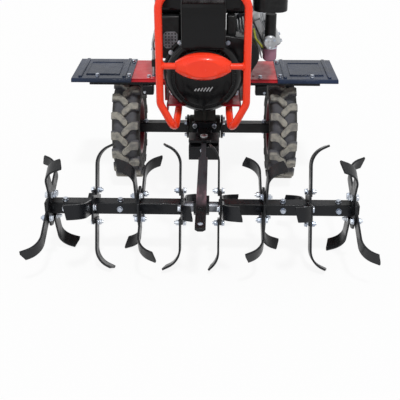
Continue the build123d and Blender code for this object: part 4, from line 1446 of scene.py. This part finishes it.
@dataclass
class Engine:
    """The engine: starter, blower housing, crankcase, cylinder, tank, carburettor, cleaner and muffler."""

    crank: float = 523
    foot: float = 400.3
    tilt: float = 25
    recoil: float = 132
    recoil_front: float = -330
    recoil_back: float = -262
    rib_ring: float = 108.5
    ribs: int = 44
    vents: int = 6
    grip_reach: float = 84
    housing: float = 144
    housing_back: float = -180
    duct_reach: float = 142
    duct: float = 66
    bolt_ring: float = 137
    bolt_angles: tuple[float, ...] = (52, 128, 148, 212, 328)
    foot_bolts: tuple[tuple[float, float], ...] = ((-118, -150), (-118, -40), (118, -150), (118, -40))
    tank_low: Point = (-173, -229.5, 722)
    tank_high: Point = (157, 5.5, 850)
    tank_corner: float = 24
    sump_half: float = 75
    sump_low: float = 631
    sump_step: float = 671
    sump_top: float = 812
    cap_seat: tuple[float, float] = (54, -112)
    cylinder_y: float = -92.5
    barrel_start: float = 126.3
    barrel: float = 99
    barrel_half: float = 48
    fin_half: float = 71
    fins: int = 9
    head_depth: float = 28
    port: float = 34
    cover_half: tuple[float, float] = (60, 54)
    cover_depth: float = 34
    cleaner_low: float = 734.3
    cleaner_half: tuple[float, float] = (19, 35)
    guard_plate: tuple[float, float] = (164, 110)
    muffler_length: float = 78
    case: float = 118
    case_front: float = -179.7
    case_back: float = -5.3
    case_half: float = 108
    rod_x: float = -192
    rod_y: float = -100

    @property
    def lean(self) -> float:
        """Gives how far the cylinder is raised from level, in radians."""
        return math.radians(self.tilt)

    @property
    def head_start(self) -> float:
        """Gives the head's distance from the crankshaft along the cylinder."""
        return self.barrel_start + self.barrel

    @property
    def port_place(self) -> tuple[float, float]:
        """Gives the x and the z of the middle of the head, where its ports are."""
        middle = self.head_start + self.head_depth / 2
        return middle * math.cos(self.lean), self.crank + middle * math.sin(self.lean)

    def build(self) -> None:
        """Builds the engine's pieces from the front to the back."""
        self.starter()
        self.blower()
        self.fuel_tank()
        self.mixer()
        self.cleaner()
        self.head()
        self.exhaust()
        self.fasteners()
        self.crankcase()
        self.controls()

    def starter(self) -> None:
        """Builds the round cover with its ribs, its vents and the pull handle."""
        piece = Piece("starter_cover", "tractor", "engine_black", "recoil_cover")
        radius, deep = self.recoil, self.recoil_back - self.recoil_front
        profile = (
            (0, 0), (radius, 0), (radius, deep - 28), (radius - 2, deep - 23), (radius - 13, deep - 9),
            (radius - 17, deep - 6.5), (radius - 19, deep - 6.5), (radius - 20, deep - 8), (radius - 27, deep - 8),
            (102, deep - 5.5), (97, deep - 3.2), (62, deep - 0.6), (57, deep), (0, deep),
        )
        face = aim((0, self.recoil_back, self.crank), (0, -1, 0))
        piece.add(Form.turned(profile, 96, crease=28), Look.GLOSS, face)
        ribs = [face @ place for place in spokes(self.ribs, self.rib_ring, deep - 8)]
        piece.add(Form.block((-4, -1.6, -0.5), (4, 1.6, 1.8), 0.5), Look.SHELL, *ribs)
        for index in range(self.vents):
            spot = Matrix.Translation((index * 11 - 28, index * 0.8 - 42, deep)) @ Matrix.Rotation(-0.62, 4, "Z")
            bar = Form.block((-2.1, -5 - index * 1.3, -0.5), (2.1, 6 + index * 0.6, 0.9), 0.4)
            piece.add(bar, Look.ALUMINIUM, face @ spot)
        grip = Form.tube(7, ((-24, 0, 0), (24, 0, 0)), sides=16).soften(2.5, 3, 60)
        spot = Matrix.Translation((-self.grip_reach, self.recoil_front + 19, self.crank + self.grip_reach))
        piece.add(grip, Look.SHELL, spot @ Matrix.Rotation(-math.pi / 4, 4, "Y"))
        piece.place()

    def blower(self) -> None:
        """Builds the sheet housing round the flywheel."""
        piece = Piece("blower_shroud", "tractor", "engine_black", "blower_housing")
        duct = (self.duct_reach * math.cos(self.lean), self.duct_reach * math.sin(self.lean), self.duct)
        form = Form.hull(((0, 0, self.housing), duct), self.housing_back - self.recoil_back - 0.3, 9, 4)
        form.cut((0, self.foot + 0.3 - self.crank, 0), (0, -1, 0))
        piece.add(form, Look.GLOSS, framed((1, 0, 0), (0, 0, 1), (0, -1, 0), (0, self.housing_back, self.crank)))
        piece.place()

    def fuel_tank(self) -> None:
        """Builds the tank with its seam, its cap and the boxed sump over the starter."""
        piece = Piece("tank_shell", "tractor", "tank_paint", "fuel_tank", "fuel_cap")
        low, high = Vector(self.tank_low), Vector(self.tank_high)
        middle, size = (low + high) / 2, high - low
        piece.add(Form.block(low, high, self.tank_corner, 5), Look.GLOSS)
        seam = Form.plate(rectangle(size.x + 8, size.y + 8, 30), 4, soft=1)
        piece.add(seam, Look.GLOSS, Matrix.Translation((middle.x, middle.y, middle.z - 6)))
        front, back, step = self.recoil_front - 22, self.recoil_front - 6, self.tank_low[1] + 20
        section = (
            (front, self.sump_low), (back, self.sump_low), (back, self.sump_step), (step, self.sump_step),
            (step, self.sump_top), (front + 20, self.sump_top), (front, self.sump_top - 30),
        )
        piece.add(Form.plate(section, 2 * self.sump_half).soften(9, 4), Look.GLOSS, upright(-self.sump_half))
        cap = ((0, 0), (31, 0), (34, 2), (34, 15), (31, 20), (20, 22), (0, 22))
        seat = Matrix.Translation((*self.cap_seat, high.z + 0.3))
        piece.add(Form.turned(cap, 40), Look.SHELL, seat)
        knurls = [seat @ place for place in spokes(20, 33.4, 9)]
        piece.add(Form.block((-1.5, -2, -6), (1.2, 2, 6), 0.6), Look.SHELL, *knurls)
        piece.place()

    def mixer(self) -> None:
        """Builds the carburettor with its bowl, its intake, its front cap and its hose."""
        x, z = self.port_place
        x += 18
        front = self.cylinder_y - self.fin_half
        y = front - self.port
        piece = Piece("fuel_mixer", "tractor", "alloy", "carburettor")
        piece.add(Form.block((x - 26, y, z - 22), (x + 26, front - 0.3, z + 22), 4, 3), Look.ALUMINIUM)
        bowl = ((0, 0), (18, 0), (24, 6), (25, 14), (25, 52), (22, 58), (0, 60))
        piece.add(Form.turned(bowl, 32), Look.MAUVE, Matrix.Translation((x, y, z - 74)))
        band = Form.turned(((25, 0), (26.5, 0), (26.5, 5), (25, 5)), 32, ring=True)
        piece.add(band, Look.ZINC, Matrix.Translation((x, y, z - 27)))
        throat = ((0, 0), (20, 0), (20, 116), (0, 116))
        piece.add(Form.turned(throat, 32), Look.SHELL, Matrix.Translation((x, y, z - 22)))
        drum = ((0, 0), (22, 0), (24, 3), (24, 14), (20, 18), (8, 19), (7, 23), (0, 23))
        piece.add(Form.turned(drum, 36), Look.ALUMINIUM, aim((x - 2, y - 18, z), (0, -1, 0)))
        for across, up in circle(17, 3, 0.5):
            screw = aim((x - 2 + across, y - 36, z + up), (0, -1, 0))
            piece.add(Bolt(7, 3, 0.8).form(), Look.ZINC, screw)
        hose = ((x - 60, y - 10, z + 44), (x - 52, y - 14, z + 8), (x - 30, y - 6, z - 20), (x - 10, y, z - 40))
        piece.add(Form.tube(4, hose, (24, 24), 6, 12), Look.HOSE)
        piece.place()

    def cleaner(self) -> None:
        """Builds the air cleaner with its lid and knob."""
        piece = Piece("cleaner_housing", "tractor", "black_plastic", "air_cleaner")
        x, y = self.port_place[0] + 14, self.cylinder_y - self.fin_half - self.port + 20
        half_x, half_y = self.cleaner_half
        corners = [(x + side * half_x, y + end * half_y) for side in BOTH for end in BOTH]
        knob = ((0, 0), (15, 0), (15, 5), (12, 7), (0, 7))
        parts = (
            (Form.hull([(*corner, 40) for corner in corners], 60, 3), (0, 0, 0)),
            (Form.hull([(*corner, 38) for corner in corners], 36, 12, 4), (0, 0, 59.5)),
            (Form.turned(knob, 24), (x, y, 88)),
        )
        seat = Matrix.Translation((0, 0, self.cleaner_low))
        for form, spot in parts:
            piece.add(form, Look.SHELL, seat @ Matrix.Translation(spot))
        piece.place()

    def head(self) -> None:
        """Dresses the cylinder: rounded fins, the head, and the valve cover with its screws."""
        axis = Vector((math.cos(self.lean), 0, math.sin(self.lean)))
        across = Vector((0, 1, 0))
        frame = framed(across, axis.cross(across), axis, (0, self.cylinder_y, self.crank))
        start, head, end = self.barrel_start, self.head_start, self.head_start + self.head_depth
        core, fin = self.barrel_half, self.fin_half
        piece = Piece("finned_barrel", "tractor", "alloy", "cylinder")
        piece.add(Form.block((-core, -core, start), (core, core, head), 3), Look.ALUMINIUM, frame)
        pitch = self.barrel / self.fins
        fins = [frame @ Matrix.Translation((0, 0, start + pitch * (index + 0.5))) for index in range(self.fins)]
        piece.add(Form.plate(rectangle(2 * fin, 2 * fin, 10), 3.5, soft=0.9), Look.ALUMINIUM, *fins)
        piece.add(Form.block((-fin, -fin, head), (fin, fin, end), 5, 3), Look.ALUMINIUM, frame)
        piece.place()
        piece = Piece("rocker_cover", "tractor", "engine_black", "valve_cover")
        wide, deep = self.cover_half
        foot, top = end + 0.3, end + 0.3 + self.cover_depth
        piece.add(Form.block((-wide, -deep, foot), (wide, deep, top), 13, 4), Look.ALUMINIUM, frame)
        piece.add(Form.block((-wide, -deep, foot), (wide, deep, foot + 4.4), 1.5), Look.ALUMINIUM, frame)
        corners = [frame @ aim((46 * side, 42 * way, top - 1.6)) for side in BOTH for way in BOTH]
        piece.add(Bolt(10, 5, 1.2).form(), Look.ZINC, *corners)
        piece.place()

    def exhaust(self) -> None:
        """Builds the muffler, its pipe and its perforated guard."""
        x, z = self.port_place
        start = self.cylinder_y + self.fin_half + self.port
        place = framed((1, 0, 0), (0, 0, -1), (0, 1, 0), (x - 34, start, z))
        corners = [(39 * side, 12 * end) for side in BOTH for end in BOTH]
        piece = Piece("silencer", "tractor", "muffler_steel", "muffler")
        piece.add(Form.hull([(*corner, 36) for corner in corners], self.muffler_length, 5, 3), Look.STEEL, place)
        piece.add(Form.tube(19.5, ((x, start - self.port, z), (x, start + 2, z))), Look.STEEL)
        seam = Form.hull([(*corner, 37.5) for corner in corners], 3, 1)
        piece.add(seam, Look.STEEL, place @ Matrix.Translation((0, 0, 38)))
        piece.place()
        piece = Piece("heat_guard", "tractor", "black_paint", "muffler_guard")
        holes = [(30 * column - 45, 20 * row - 30, 6.5) for column in range(4) for row in range(4)]
        form = Form.plate(rectangle(*self.guard_plate, 20), 3, holes, 0.6)
        piece.add(form, Look.SATIN, place @ Matrix.Translation((0, 0, self.muffler_length + 0.3)))
        piece.place()

    def fasteners(self) -> None:
        """Sets the flange bolts round the housing and the bolts of the engine's feet."""
        piece = Piece("engine_bolts", "tractor", "zinc")
        for angle in self.bolt_angles:
            turn = math.radians(angle)
            x, z = self.bolt_ring * math.cos(turn), self.crank + self.bolt_ring * math.sin(turn)
            piece.add(Bolt(13, 6, 1.8).form(), Look.ZINC, aim((x, self.recoil_back, z), (0, -1, 0)))
        for x, y in self.foot_bolts:
            piece.add(Bolt(15, 8, 2).form(), Look.ZINC, aim((x, y, self.foot)))
        piece.place()

    def crankcase(self) -> None:
        """Builds the round crankcase on its foot, with the oil filler and the drain plug."""
        piece = Piece("crank_housing", "tractor", "engine_black", "crankcase")
        radius, deep, half = self.case, self.case_back - self.case_front, self.case_half
        drum = (
            (0, 0), (radius - 5, 0), (radius, 5), (radius, 60), (radius - 2, 62), (radius - 2, 66), (radius, 68),
            (radius, deep - 5), (radius - 5, deep), (0, deep),
        )
        piece.add(Form.turned(drum, 96), Look.GLOSS, aim((0, self.case_front, self.crank), (0, 1, 0)))
        lowest, highest = (-half, self.case_front, self.foot), (half, self.case_back, self.crank - 8)
        piece.add(Form.block(lowest, highest, 5, 3), Look.GLOSS)
        filler = ((0, 0), (13, 0), (13, 10), (11, 14), (11, 20), (0, 20))
        piece.add(Form.turned(filler, 24), Look.SHELL, aim((-104, -128, 436), (-1, 0, 0.25)))
        plugs = [aim((side * (half - 1), -52, 420), (side, 0, 0)) for side in BOTH]
        piece.add(Bolt(14, 6, 2).form(), Look.ZINC, *plugs)
        piece.place()

    def controls(self) -> None:
        """Builds the switch box with its drilled shield, and the throttle rod, both at the right."""
        piece = Piece("switch_box", "tractor", "black_plastic")
        top = self.tank_low[2] - 0.4
        piece.add(Form.block((-154, -246, 566), (-80, -182, top), 9, 3), Look.SHELL)
        piece.add(Form.block((78, -238, 600), (112, -196, top), 7, 3), Look.SHELL)
        holes = [(11 * column - 16.5, 11 * row - 22, 3) for column in range(4) for row in range(5)]
        shield = Form.plate(rectangle(50, 60, 9), 2, holes, 0.5)
        piece.add(shield, Look.STEEL, aim((-117, -246.5, 636), (0, -1, 0)))
        button = Form.tube(5.5, ((-100, -246, 590), (-100, -253, 590)))
        piece.add(button.soften(1.5, 2, 60), Look.RED)
        piece.place()
        rods = Piece("throttle_rod", "tractor", "zinc")
        x, y = self.rod_x, self.rod_y
        rod = Form.tube(5.5, ((x, y, 453), (x, y, 585), (x + 32, y, 724)), (50,), 6, 16)
        rods.add(rod, Look.ALUMINIUM)
        rods.add(Form.block((x - 7, y - 6, 500), (x + 76, y + 6, 512), 2), Look.SATIN)
        rods.add(Form.block((x - 7, y - 10, 492), (x + 8, y + 10, 520), 2.5), Look.SHELL)
        rods.add(Bolt(13, 7, 2, 6).form(), Look.ZINC, aim((x, y, 453.6)), aim((x, y, 556)))
        rods.place()


@dataclass
class Deck:
    """The red engine base and pans, the support rails, and the pressed fenders."""

    base_height: float = 400
    base_half: float = 135
    base_front: float = -258
    base_back: float = -10
    base_plate: float = 8
    cheek: float = 32
    fender_top: float = 458
    inner: float = 273
    outer: float = 499
    front: float = -152
    back: float = 102
    lip: float = 14
    pan_inner: float = 150
    overlap: float = 22
    plate: float = 4
    rail_y: float = -112
    rail_end: float = 64
    rail_height: float = 24
    rail_half: float = 12.5
    bracket: tuple[float, float] = (192, 236)

    def build(self) -> None:
        """Builds the base, the pans, the rails and both fenders."""
        self.base()
        self.pans()
        self.rails()
        self.fittings()
        for name, side in SIDES:
            self.fender(name, side)

    def base(self) -> None:
        """Builds the folded base plate, its cheeks, and the tabs that bolt it to the gear case."""
        piece = Piece("base_plate", "tractor", "red_paint", "engine_base")
        top, half, front, back = self.base_height - 0.3, self.base_half, self.base_front, self.base_back
        piece.add(Form.block((-half, front, top - self.base_plate), (half, back, top), 1.5), Look.RED)
        for side in BOTH:
            low, high = sided(side, half - 6, half)
            piece.add(Form.block((low, front, top - self.cheek), (high, back, top), 1.5), Look.RED)
            low, high = sided(side, 43.3, 53.3)
            piece.add(Form.block((low, -85, top - 80), (high, 45, top - 0.2), 2), Look.RED)
        piece.place()

    def pans(self) -> None:
        """Folds the pans from the base up and out under the fenders, with a pressed rib."""
        piece = Piece("side_pans", "tractor", "red_paint", "deck_pans")
        plate, wall = self.plate, self.pan_inner
        top, foot = self.fender_top - plate - 0.3, self.base_height - self.cheek
        front, back = self.front + 18, self.back - 6
        start, out = self.base_half + 0.3, self.inner + self.overlap
        section = (
            (start, foot), (start, foot + plate), (wall - plate, foot + plate), (wall - plate, top - 3),
            (wall - plate + 3, top), (out, top), (out, top - plate), (wall, top - plate), (wall, foot),
        )
        for side in BOTH:
            form = Form.plate(section, back - front, soft=0.9)
            piece.add(form, Look.RED, framed((side, 0, 0), (0, 0, 1), (0, 1, 0), (0, front, 0)))
            low, high = sided(side, wall - 2, out)
            piece.add(Form.block((low, front, top - self.lip), (high, front + plate, top - 0.3), 1.4), Look.RED)
            rib = Form.block((-4, -86, 0), (4, 86, 3), 2.8, 3)
            spot = (side * (wall + 34), (front + back) / 2 + 8, top - 1)
            piece.add(rib, Look.RED, Matrix.Translation(spot))
        piece.place()

    @property
    def rail_top(self) -> float:
        """Gives the height of the rails' tops, under the pans."""
        return self.fender_top - 2 * self.plate - 0.6

    def rails(self) -> None:
        """Builds the square rails under the pans and fenders."""
        piece = Piece("fender_rails", "tractor", "black_paint", "fender_support")
        top, y, half = self.rail_top, self.rail_y, self.rail_half
        for side in BOTH:
            low, high = sided(side, self.pan_inner + 0.3, self.outer - self.rail_end + 0.3)
            piece.add(Form.block((low, y - half, top - self.rail_height), (high, y + half, top), 2.2), Look.SATIN)
        piece.place()

    def fittings(self) -> None:
        """Sets the bolts of the pans and fenders, and the brackets under the rails."""
        top, y = self.rail_top, self.rail_y
        seam, end = self.inner + 12, self.outer - self.rail_end - 30
        height = self.fender_top
        spots = (
            (seam, y, height), (seam, self.back - 40, height), (end, y, height),
            (self.pan_inner + 60, y, height - self.plate - 0.3),
        )
        bolts = Piece("deck_bolts", "tractor", "zinc")
        for side in BOTH:
            for x, spot, level in spots:
                bolts.add(Bolt(13, 6, 2).form(), Look.ZINC, aim((side * x, spot, level)))
        bolts.place()
        brackets = Piece("pan_brackets", "tractor", "black_paint")
        for side in BOTH:
            low, high = sided(side, *self.bracket)
            lowest, highest = (low, y - 20, top - 62), (high, y + 20, top - self.rail_height + 1)
            brackets.add(Form.block(lowest, highest, 5, 3), Look.SATIN)
            screw = aim((side * (self.bracket[1] - 10), y - 20, top - 50), (0, -1, 0))
            brackets.add(Bolt(8, 4, 1).form(), Look.ZINC, screw)
        brackets.place()

    def fender(self, name: str, side: int) -> None:
        """Presses one fender: turned-down lips, a raised panel and two ribs.

        Args:
            name: Name of the side.
            side: Sign of x.
        """
        piece = Piece(f"pressed_fender_{name}", "tractor", "fender_gloss", f"fender_{name}")
        top, front, back, plate, lip = self.fender_top, self.front, self.back, self.plate, self.lip
        section = (
            (front, top - lip), (front, top - 9), (front + 2.6, top - 2.6), (front + 9, top), (back - 3, top),
            (back, top - 1.5), (back, top - plate), (front + 9, top - plate), (front + 4, top - plate - 4),
            (front + 4, top - lip),
        )
        form = Form.plate(section, self.outer - self.inner, soft=0.9)
        # the fender is black; its navy colour is a painted sky reflection
        piece.add(form, Look.BLACK_PAINTED_SKY, upright(side * self.inner, side))
        middle = Vector((side * (self.inner + self.outer) / 2, (front + back) / 2, top - 0.5))
        panel = Form.block((-64, -75, 0), (64, 75, 4.4), 3.4, 3)
        panel.inset(9, 0).inset(3.4, -2.4)
        piece.add(panel, Look.BLACK_PAINTED_SKY, Matrix.Translation(middle))
        for x in (self.inner + 30, self.outer - 30):
            rib = Form.block((-7, -112, 0), (7, 112, 5.2), 4.4, 4)
            piece.add(rib, Look.BLACK_PAINTED_SKY, Matrix.Translation((side * x, middle.y + 8, middle.z)))
        piece.place()


@dataclass
class Transmission:
    """The gear case with its flange and bolts."""

    axle_height: float = 207
    crank: float = 523
    low_radius: float = 66
    top_radius: float = 56
    top_y: float = 130
    width: float = 86
    lip: float = 8
    lip_width: float = 14
    bell_front: float = -5
    bell_back: float = 72
    bell_radius: float = 105
    bell_bolt_ring: float = 98
    bell_bolts: int = 8
    axle_boss: float = 47
    foot_half: tuple[float, float] = (40, 45)
    foot_front: float = -80
    head_y: float = 112
    head_seat: float = 626
    pillar: float = 36
    lip_bolts: tuple[float, ...] = (0.12, 0.36, 0.6, 0.84)

    def build(self) -> None:
        """Builds the case and the bolts on it."""
        self.housing()
        self.fasteners()

    def housing(self) -> None:
        """Builds the leg with its split flange, the bell, the axle bosses and the pillar."""
        piece = Piece("gear_housing", "tractor", "cast_black", "gear_case")
        discs = ((0, self.axle_height, self.low_radius), (self.top_y, self.crank, self.top_radius))
        piece.add(Form.hull(discs, self.width, 5), Look.CAST, upright(-self.width / 2))
        lips = [(x, y, radius + self.lip) for x, y, radius in discs]
        piece.add(Form.hull(lips, self.lip_width, 1.6), Look.CAST, upright(-self.lip_width / 2))
        radius, deep = self.bell_radius, self.bell_back - self.bell_front
        bell = (
            (0, 0), (radius - 3, 0), (radius, 3), (radius, 12), (radius - 9, 16), (68, deep - 4),
            (62, deep), (0, deep),
        )
        piece.add(Form.turned(bell, 64), Look.CAST, aim((0, self.bell_front, self.crank), (0, 1, 0)))
        reach = self.axle_boss
        for side in BOTH:
            boss = ((0, 40), (reach, 40), (reach, 58), (reach - 3, 62), (18.5, 62), (18.5, 50), (0, 50))
            piece.add(Form.turned(boss, 48), Look.CAST, aim((0, 0, self.axle_height), (side, 0, 0)))
        x, z = self.foot_half
        foot = Form.block((-x, self.foot_front, self.axle_height - z), (x, 0, self.axle_height + z), 3)
        piece.add(foot, Look.CAST)
        radius, tall = self.pillar, self.head_seat - self.crank
        pillar = ((0, 0), (radius, 0), (radius, tall - 6), (radius - 3, tall), (0, tall))
        piece.add(Form.turned(pillar, 40), Look.CAST, Matrix.Translation((0, self.head_y, self.crank)))
        piece.place()

    def fasteners(self) -> None:
        """Sets the bolts along the split flange and round the bell."""
        bolts = Piece("case_bolts", "tractor", "zinc")
        low, high = Vector((0, self.axle_height)), Vector((self.top_y, self.crank))
        lean = (high - low).normalized()
        normal = Vector((lean.y, -lean.x))
        for way in BOTH:
            for share in self.lip_bolts if way > 0 else self.lip_bolts[1:]:
                reach = (self.low_radius + (self.top_radius - self.low_radius) * share + 1) * way
                spot = low.lerp(high, share) + normal * reach
                bolts.add(Bolt(11, 5, 1.2).form(), Look.ZINC, aim((self.lip_width / 2, *spot), (1, 0, 0)))
        for x, z in circle(self.bell_bolt_ring, self.bell_bolts, math.pi / self.bell_bolts):
            spot = (x, self.bell_front + 14, self.crank + z)
            bolts.add(Bolt(12, 6, 1.6).form(), Look.ZINC, aim(spot, (0, 1, 0)))
        bolts.place()


@dataclass
class Handles:
    """The bent handlebar with its cross tubes, the ribbed grips and the gear lever."""

    pivot_y: float = 128
    pivot_z: float = 673.5
    foot_x: float = 47
    spread: float = 265
    splay: float = 20
    end_y: float = 863
    height: float = 935
    grip_drop: float = 14
    straight: float = 170
    elbow_reach: float = 335
    elbow_drop: float = 51.5
    tube: float = 14
    bends: tuple[float, ...] = (30, 90, 90)
    brace_share: float = 0.52
    cheek: float = 8
    cheek_start: float = 31
    rings: int = 12
    ring_pitch: float = 7.5
    lever_foot: Point = (30, 168, 561)
    lever_elbow: Point = (30, 191.8, 584.8)
    lever_tip: Point = (44, 268, 641)

    def build(self) -> None:
        """Builds the handlebar, the grips and the gear lever."""
        self.bars()
        self.grips()
        self.lever()

    def bars(self) -> None:
        """Bends both arms, and joins them with their cheeks and cross tubes."""
        y, z, grip_x = self.pivot_y, self.pivot_z, self.spread + self.splay
        low = Vector((self.foot_x, y + 90, z + 42))
        elbow = Vector((self.spread, self.end_y - self.elbow_reach, self.height - self.elbow_drop))
        brace = low.lerp(elbow, self.brace_share)
        arm = (
            (self.foot_x, y + 44, z + 20), low, elbow, (grip_x, self.end_y - self.straight, self.height - 20),
            (grip_x, self.end_y - 2, self.height - self.grip_drop),
        )
        piece = Piece("handle_tubes", "handles", "black_paint", "handlebar")
        for side in BOTH:
            corners = [(side * corner[0], corner[1], corner[2]) for corner in arm]
            piece.add(Form.tube(self.tube - 0.2, corners, self.bends, 8, 20), Look.SATIN)
            cheek = Form.hull(((y, z, 22), (y + 62, z + 26, 18)), self.cheek, 1.2)
            start = min(side * self.cheek_start, side * (self.cheek_start + self.cheek))
            piece.add(cheek, Look.SATIN, upright(start))
        for at_y, at_z, radius, half in ((y + 56, z + 25, 12, self.foot_x), (brace.y, brace.z, 10, brace.x)):
            piece.add(Form.tube(radius, ((-half, at_y, at_z), (half, at_y, at_z))), Look.SATIN)
        piece.place()

    def grips(self) -> None:
        """Turns the grips with their flange and rings."""
        piece = Piece("ribbed_grips", "handles", "grip_rubber", "grips")
        profile = [(0, 0), (15, 0), (17.4, 2.5), (17.4, 8)]
        for step in range(self.rings):
            start = 11 + step * self.ring_pitch
            profile += [(16.2, start), (17.6, start + 1.5), (17.6, start + 4.5), (16.2, start + 6)]
        profile += [(16.4, 104), (18, 107), (18, 115), (16, 118), (14.6, 118), (14.6, 110)]
        for side in BOTH:
            x = side * (self.spread + self.splay)
            rear = Vector((x, self.end_y, self.height - self.grip_drop))
            front = Vector((x, self.end_y - self.straight, self.height - 20))
            piece.add(Form.turned(profile, 32, crease=50), Look.GRIP, aim(rear, front - rear))
        piece.place()

    def lever(self) -> None:
        """Bends the gear lever and sets a black knob and a boot on it."""
        piece = Piece("shift_lever", "tractor", "zinc", "gear_lever")
        foot, elbow, tip = Vector(self.lever_foot), Vector(self.lever_elbow), Vector(self.lever_tip)
        piece.add(Form.tube(5.8, (foot, elbow, tip), (26,), 8, 20), Look.ZINC)
        knob = ((0, -2), (6.5, -2), (9, 3), (13.5, 9), (15, 16), (13.5, 23), (8, 28), (0, 29.5))
        along = tip - elbow
        piece.add(Form.turned(knob, 32, crease=60), Look.SHELL, aim(tip - along.normalized() * 12, along))
        boot = ((0, 0), (14, 0), (14, 4), (9, 9), (7.5, 18), (0, 18))
        piece.add(Form.turned(boot, 28), Look.SHELL, aim(foot, elbow - foot))
        piece.place()


@dataclass
class Studio:
    """The pale floor, the light and the camera."""

    focal_pixels: float = 730
    frame_pixels: float = 400
    axis_column: float = 201.5
    axis_row: float = 150
    sensor: float = 36
    place: Point = (0.0435, -2.7345, 1.342)
    look_down: float = 24.4
    look_aside: float = 1.2
    floor_size: float = 60
    floor_tone: float = 0.86
    floor_glow: float = 0.9
    world_light: float = 0.5

    # name, power, width of the light, and its tilt and turn, in degrees
    lamps: tuple[tuple[str, float, float, float, float], ...] = (
        ("sun", 1.75, 6, 28, 14),
        ("fill", 0.35, 60, 74, -30),
    )

    def floor(self) -> None:
        """Lays a white floor that keeps the machine's shadow."""
        mesh = bmesh.new()
        bmesh.ops.create_grid(mesh, x_segments=1, y_segments=1, size=self.floor_size / 2)
        data = bpy.data.meshes.new("floor")
        mesh.to_mesh(data)
        mesh.free()
        floor = bpy.data.objects.new("floor", data)
        bpy.context.scene.collection.objects.link(floor)
        board = Board("pale_floor")
        nodes, links = board.tree.nodes, board.tree.links
        board.finish((self.floor_tone,) * 3, 0.9)
        rays = nodes.new("ShaderNodeLightPath").outputs
        seen = rays["Is Camera Ray"]
        for name in ("Is Glossy Ray", "Is Transmission Ray"):
            seen = board.node("ShaderNodeMath", {0: seen, 1: rays[name]}, operation="MAXIMUM").outputs[0]
        share = board.node("ShaderNodeMath", {0: seen, 1: self.floor_glow}, operation="MULTIPLY")
        glow = board.node("ShaderNodeEmission", {"Color": (1, 1, 1, 1), "Strength": 1.0})
        both = board.node("ShaderNodeMixShader", {0: share.outputs[0]})
        links.new(board.surface.outputs[0], both.inputs[1])
        links.new(glow.outputs[0], both.inputs[2])
        links.new(both.outputs[0], nodes["Material Output"].inputs["Surface"])
        data.materials.append(board.material)

    def lights(self) -> None:
        """Sets the high soft sun, a weak front fill and the white surroundings."""
        world = bpy.data.worlds.new("surroundings")
        bpy.context.scene.world = world
        world.use_nodes = True
        tree = world.node_tree
        rays = tree.nodes.new("ShaderNodeLightPath").outputs
        seen = rays["Is Camera Ray"]
        for name in ("Is Glossy Ray", "Is Transmission Ray"):
            either = tree.nodes.new("ShaderNodeMath")
            either.operation = "MAXIMUM"
            tree.links.new(seen, either.inputs[0])
            tree.links.new(rays[name], either.inputs[1])
            seen = either.outputs[0]
        strength = tree.nodes.new("ShaderNodeMapRange")
        tree.links.new(seen, strength.inputs["Value"])
        strength.inputs["To Min"].default_value = self.world_light
        strength.inputs["To Max"].default_value = 1.0
        background = tree.nodes["Background"]
        background.inputs["Color"].default_value = (1, 1, 1, 1)
        tree.links.new(strength.outputs[0], background.inputs["Strength"])
        for name, power, spread, tilt, turn in self.lamps:
            lamp = bpy.data.lights.new(name, "SUN")
            lamp.energy = power
            lamp.angle = math.radians(spread)
            holder = bpy.data.objects.new(name, lamp)
            holder.rotation_euler = (math.radians(tilt), 0, math.radians(turn))
            bpy.context.scene.collection.objects.link(holder)

    def camera(self) -> None:
        """Sets the camera at the photograph's viewing angle."""
        data = bpy.data.cameras.new("camera")
        data.sensor_width = self.sensor
        data.lens = self.focal_pixels / self.frame_pixels * self.sensor
        data.shift_x = (self.frame_pixels / 2 - self.axis_column) / self.frame_pixels
        data.shift_y = (self.axis_row - self.frame_pixels / 2) / self.frame_pixels
        camera = bpy.data.objects.new("camera", data)
        camera.location = self.place
        camera.rotation_euler = (math.radians(90 - self.look_down), 0, math.radians(self.look_aside))
        bpy.context.scene.collection.objects.link(camera)
        bpy.context.scene.camera = camera


NODE_LOOKS: dict[Look, tuple[str, ...]] = {
    Look.CAST: ("rear_hitch",),
    Look.SATIN: ("reel_bearing", "tank_bracket", "handle_head", "clutch_lever"),
}


def dress_nodes(frame: dict, finishes: dict[Look, bpy.types.Material]) -> None:
    """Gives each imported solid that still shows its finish.

    Args:
        finishes: Each look's material.
    """
    for look, names in NODE_LOOKS.items():
        for name in names:
            data = frame["nodes"][name].data
            data.materials.clear()
            data.materials.append(finishes[look])


def main() -> None:
    """Builds the looks of the whole machine and writes how big it came out."""
    logging.basicConfig(level=logging.INFO, format="%(message)s")
    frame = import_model()
    low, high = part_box("tyre_left")
    axle_height = (low.z + high.z) / 2
    Piece.finishes = make_finishes(axle_height)
    dress_nodes(frame, Piece.finishes)
    for name, side in SIDES:
        Wheel(name, side, axle_height * METRE).build()
    for assembly in (Reel(), Drawbar(), Hitch(), Guard(), Engine(), Deck(), Transmission(), Handles()):
        assembly.build()
    studio = Studio()
    studio.floor()
    studio.lights()
    studio.camera()
    scene = bpy.context.scene
    scene.view_settings.view_transform = "Standard"


if __name__ == "__main__":
    main()
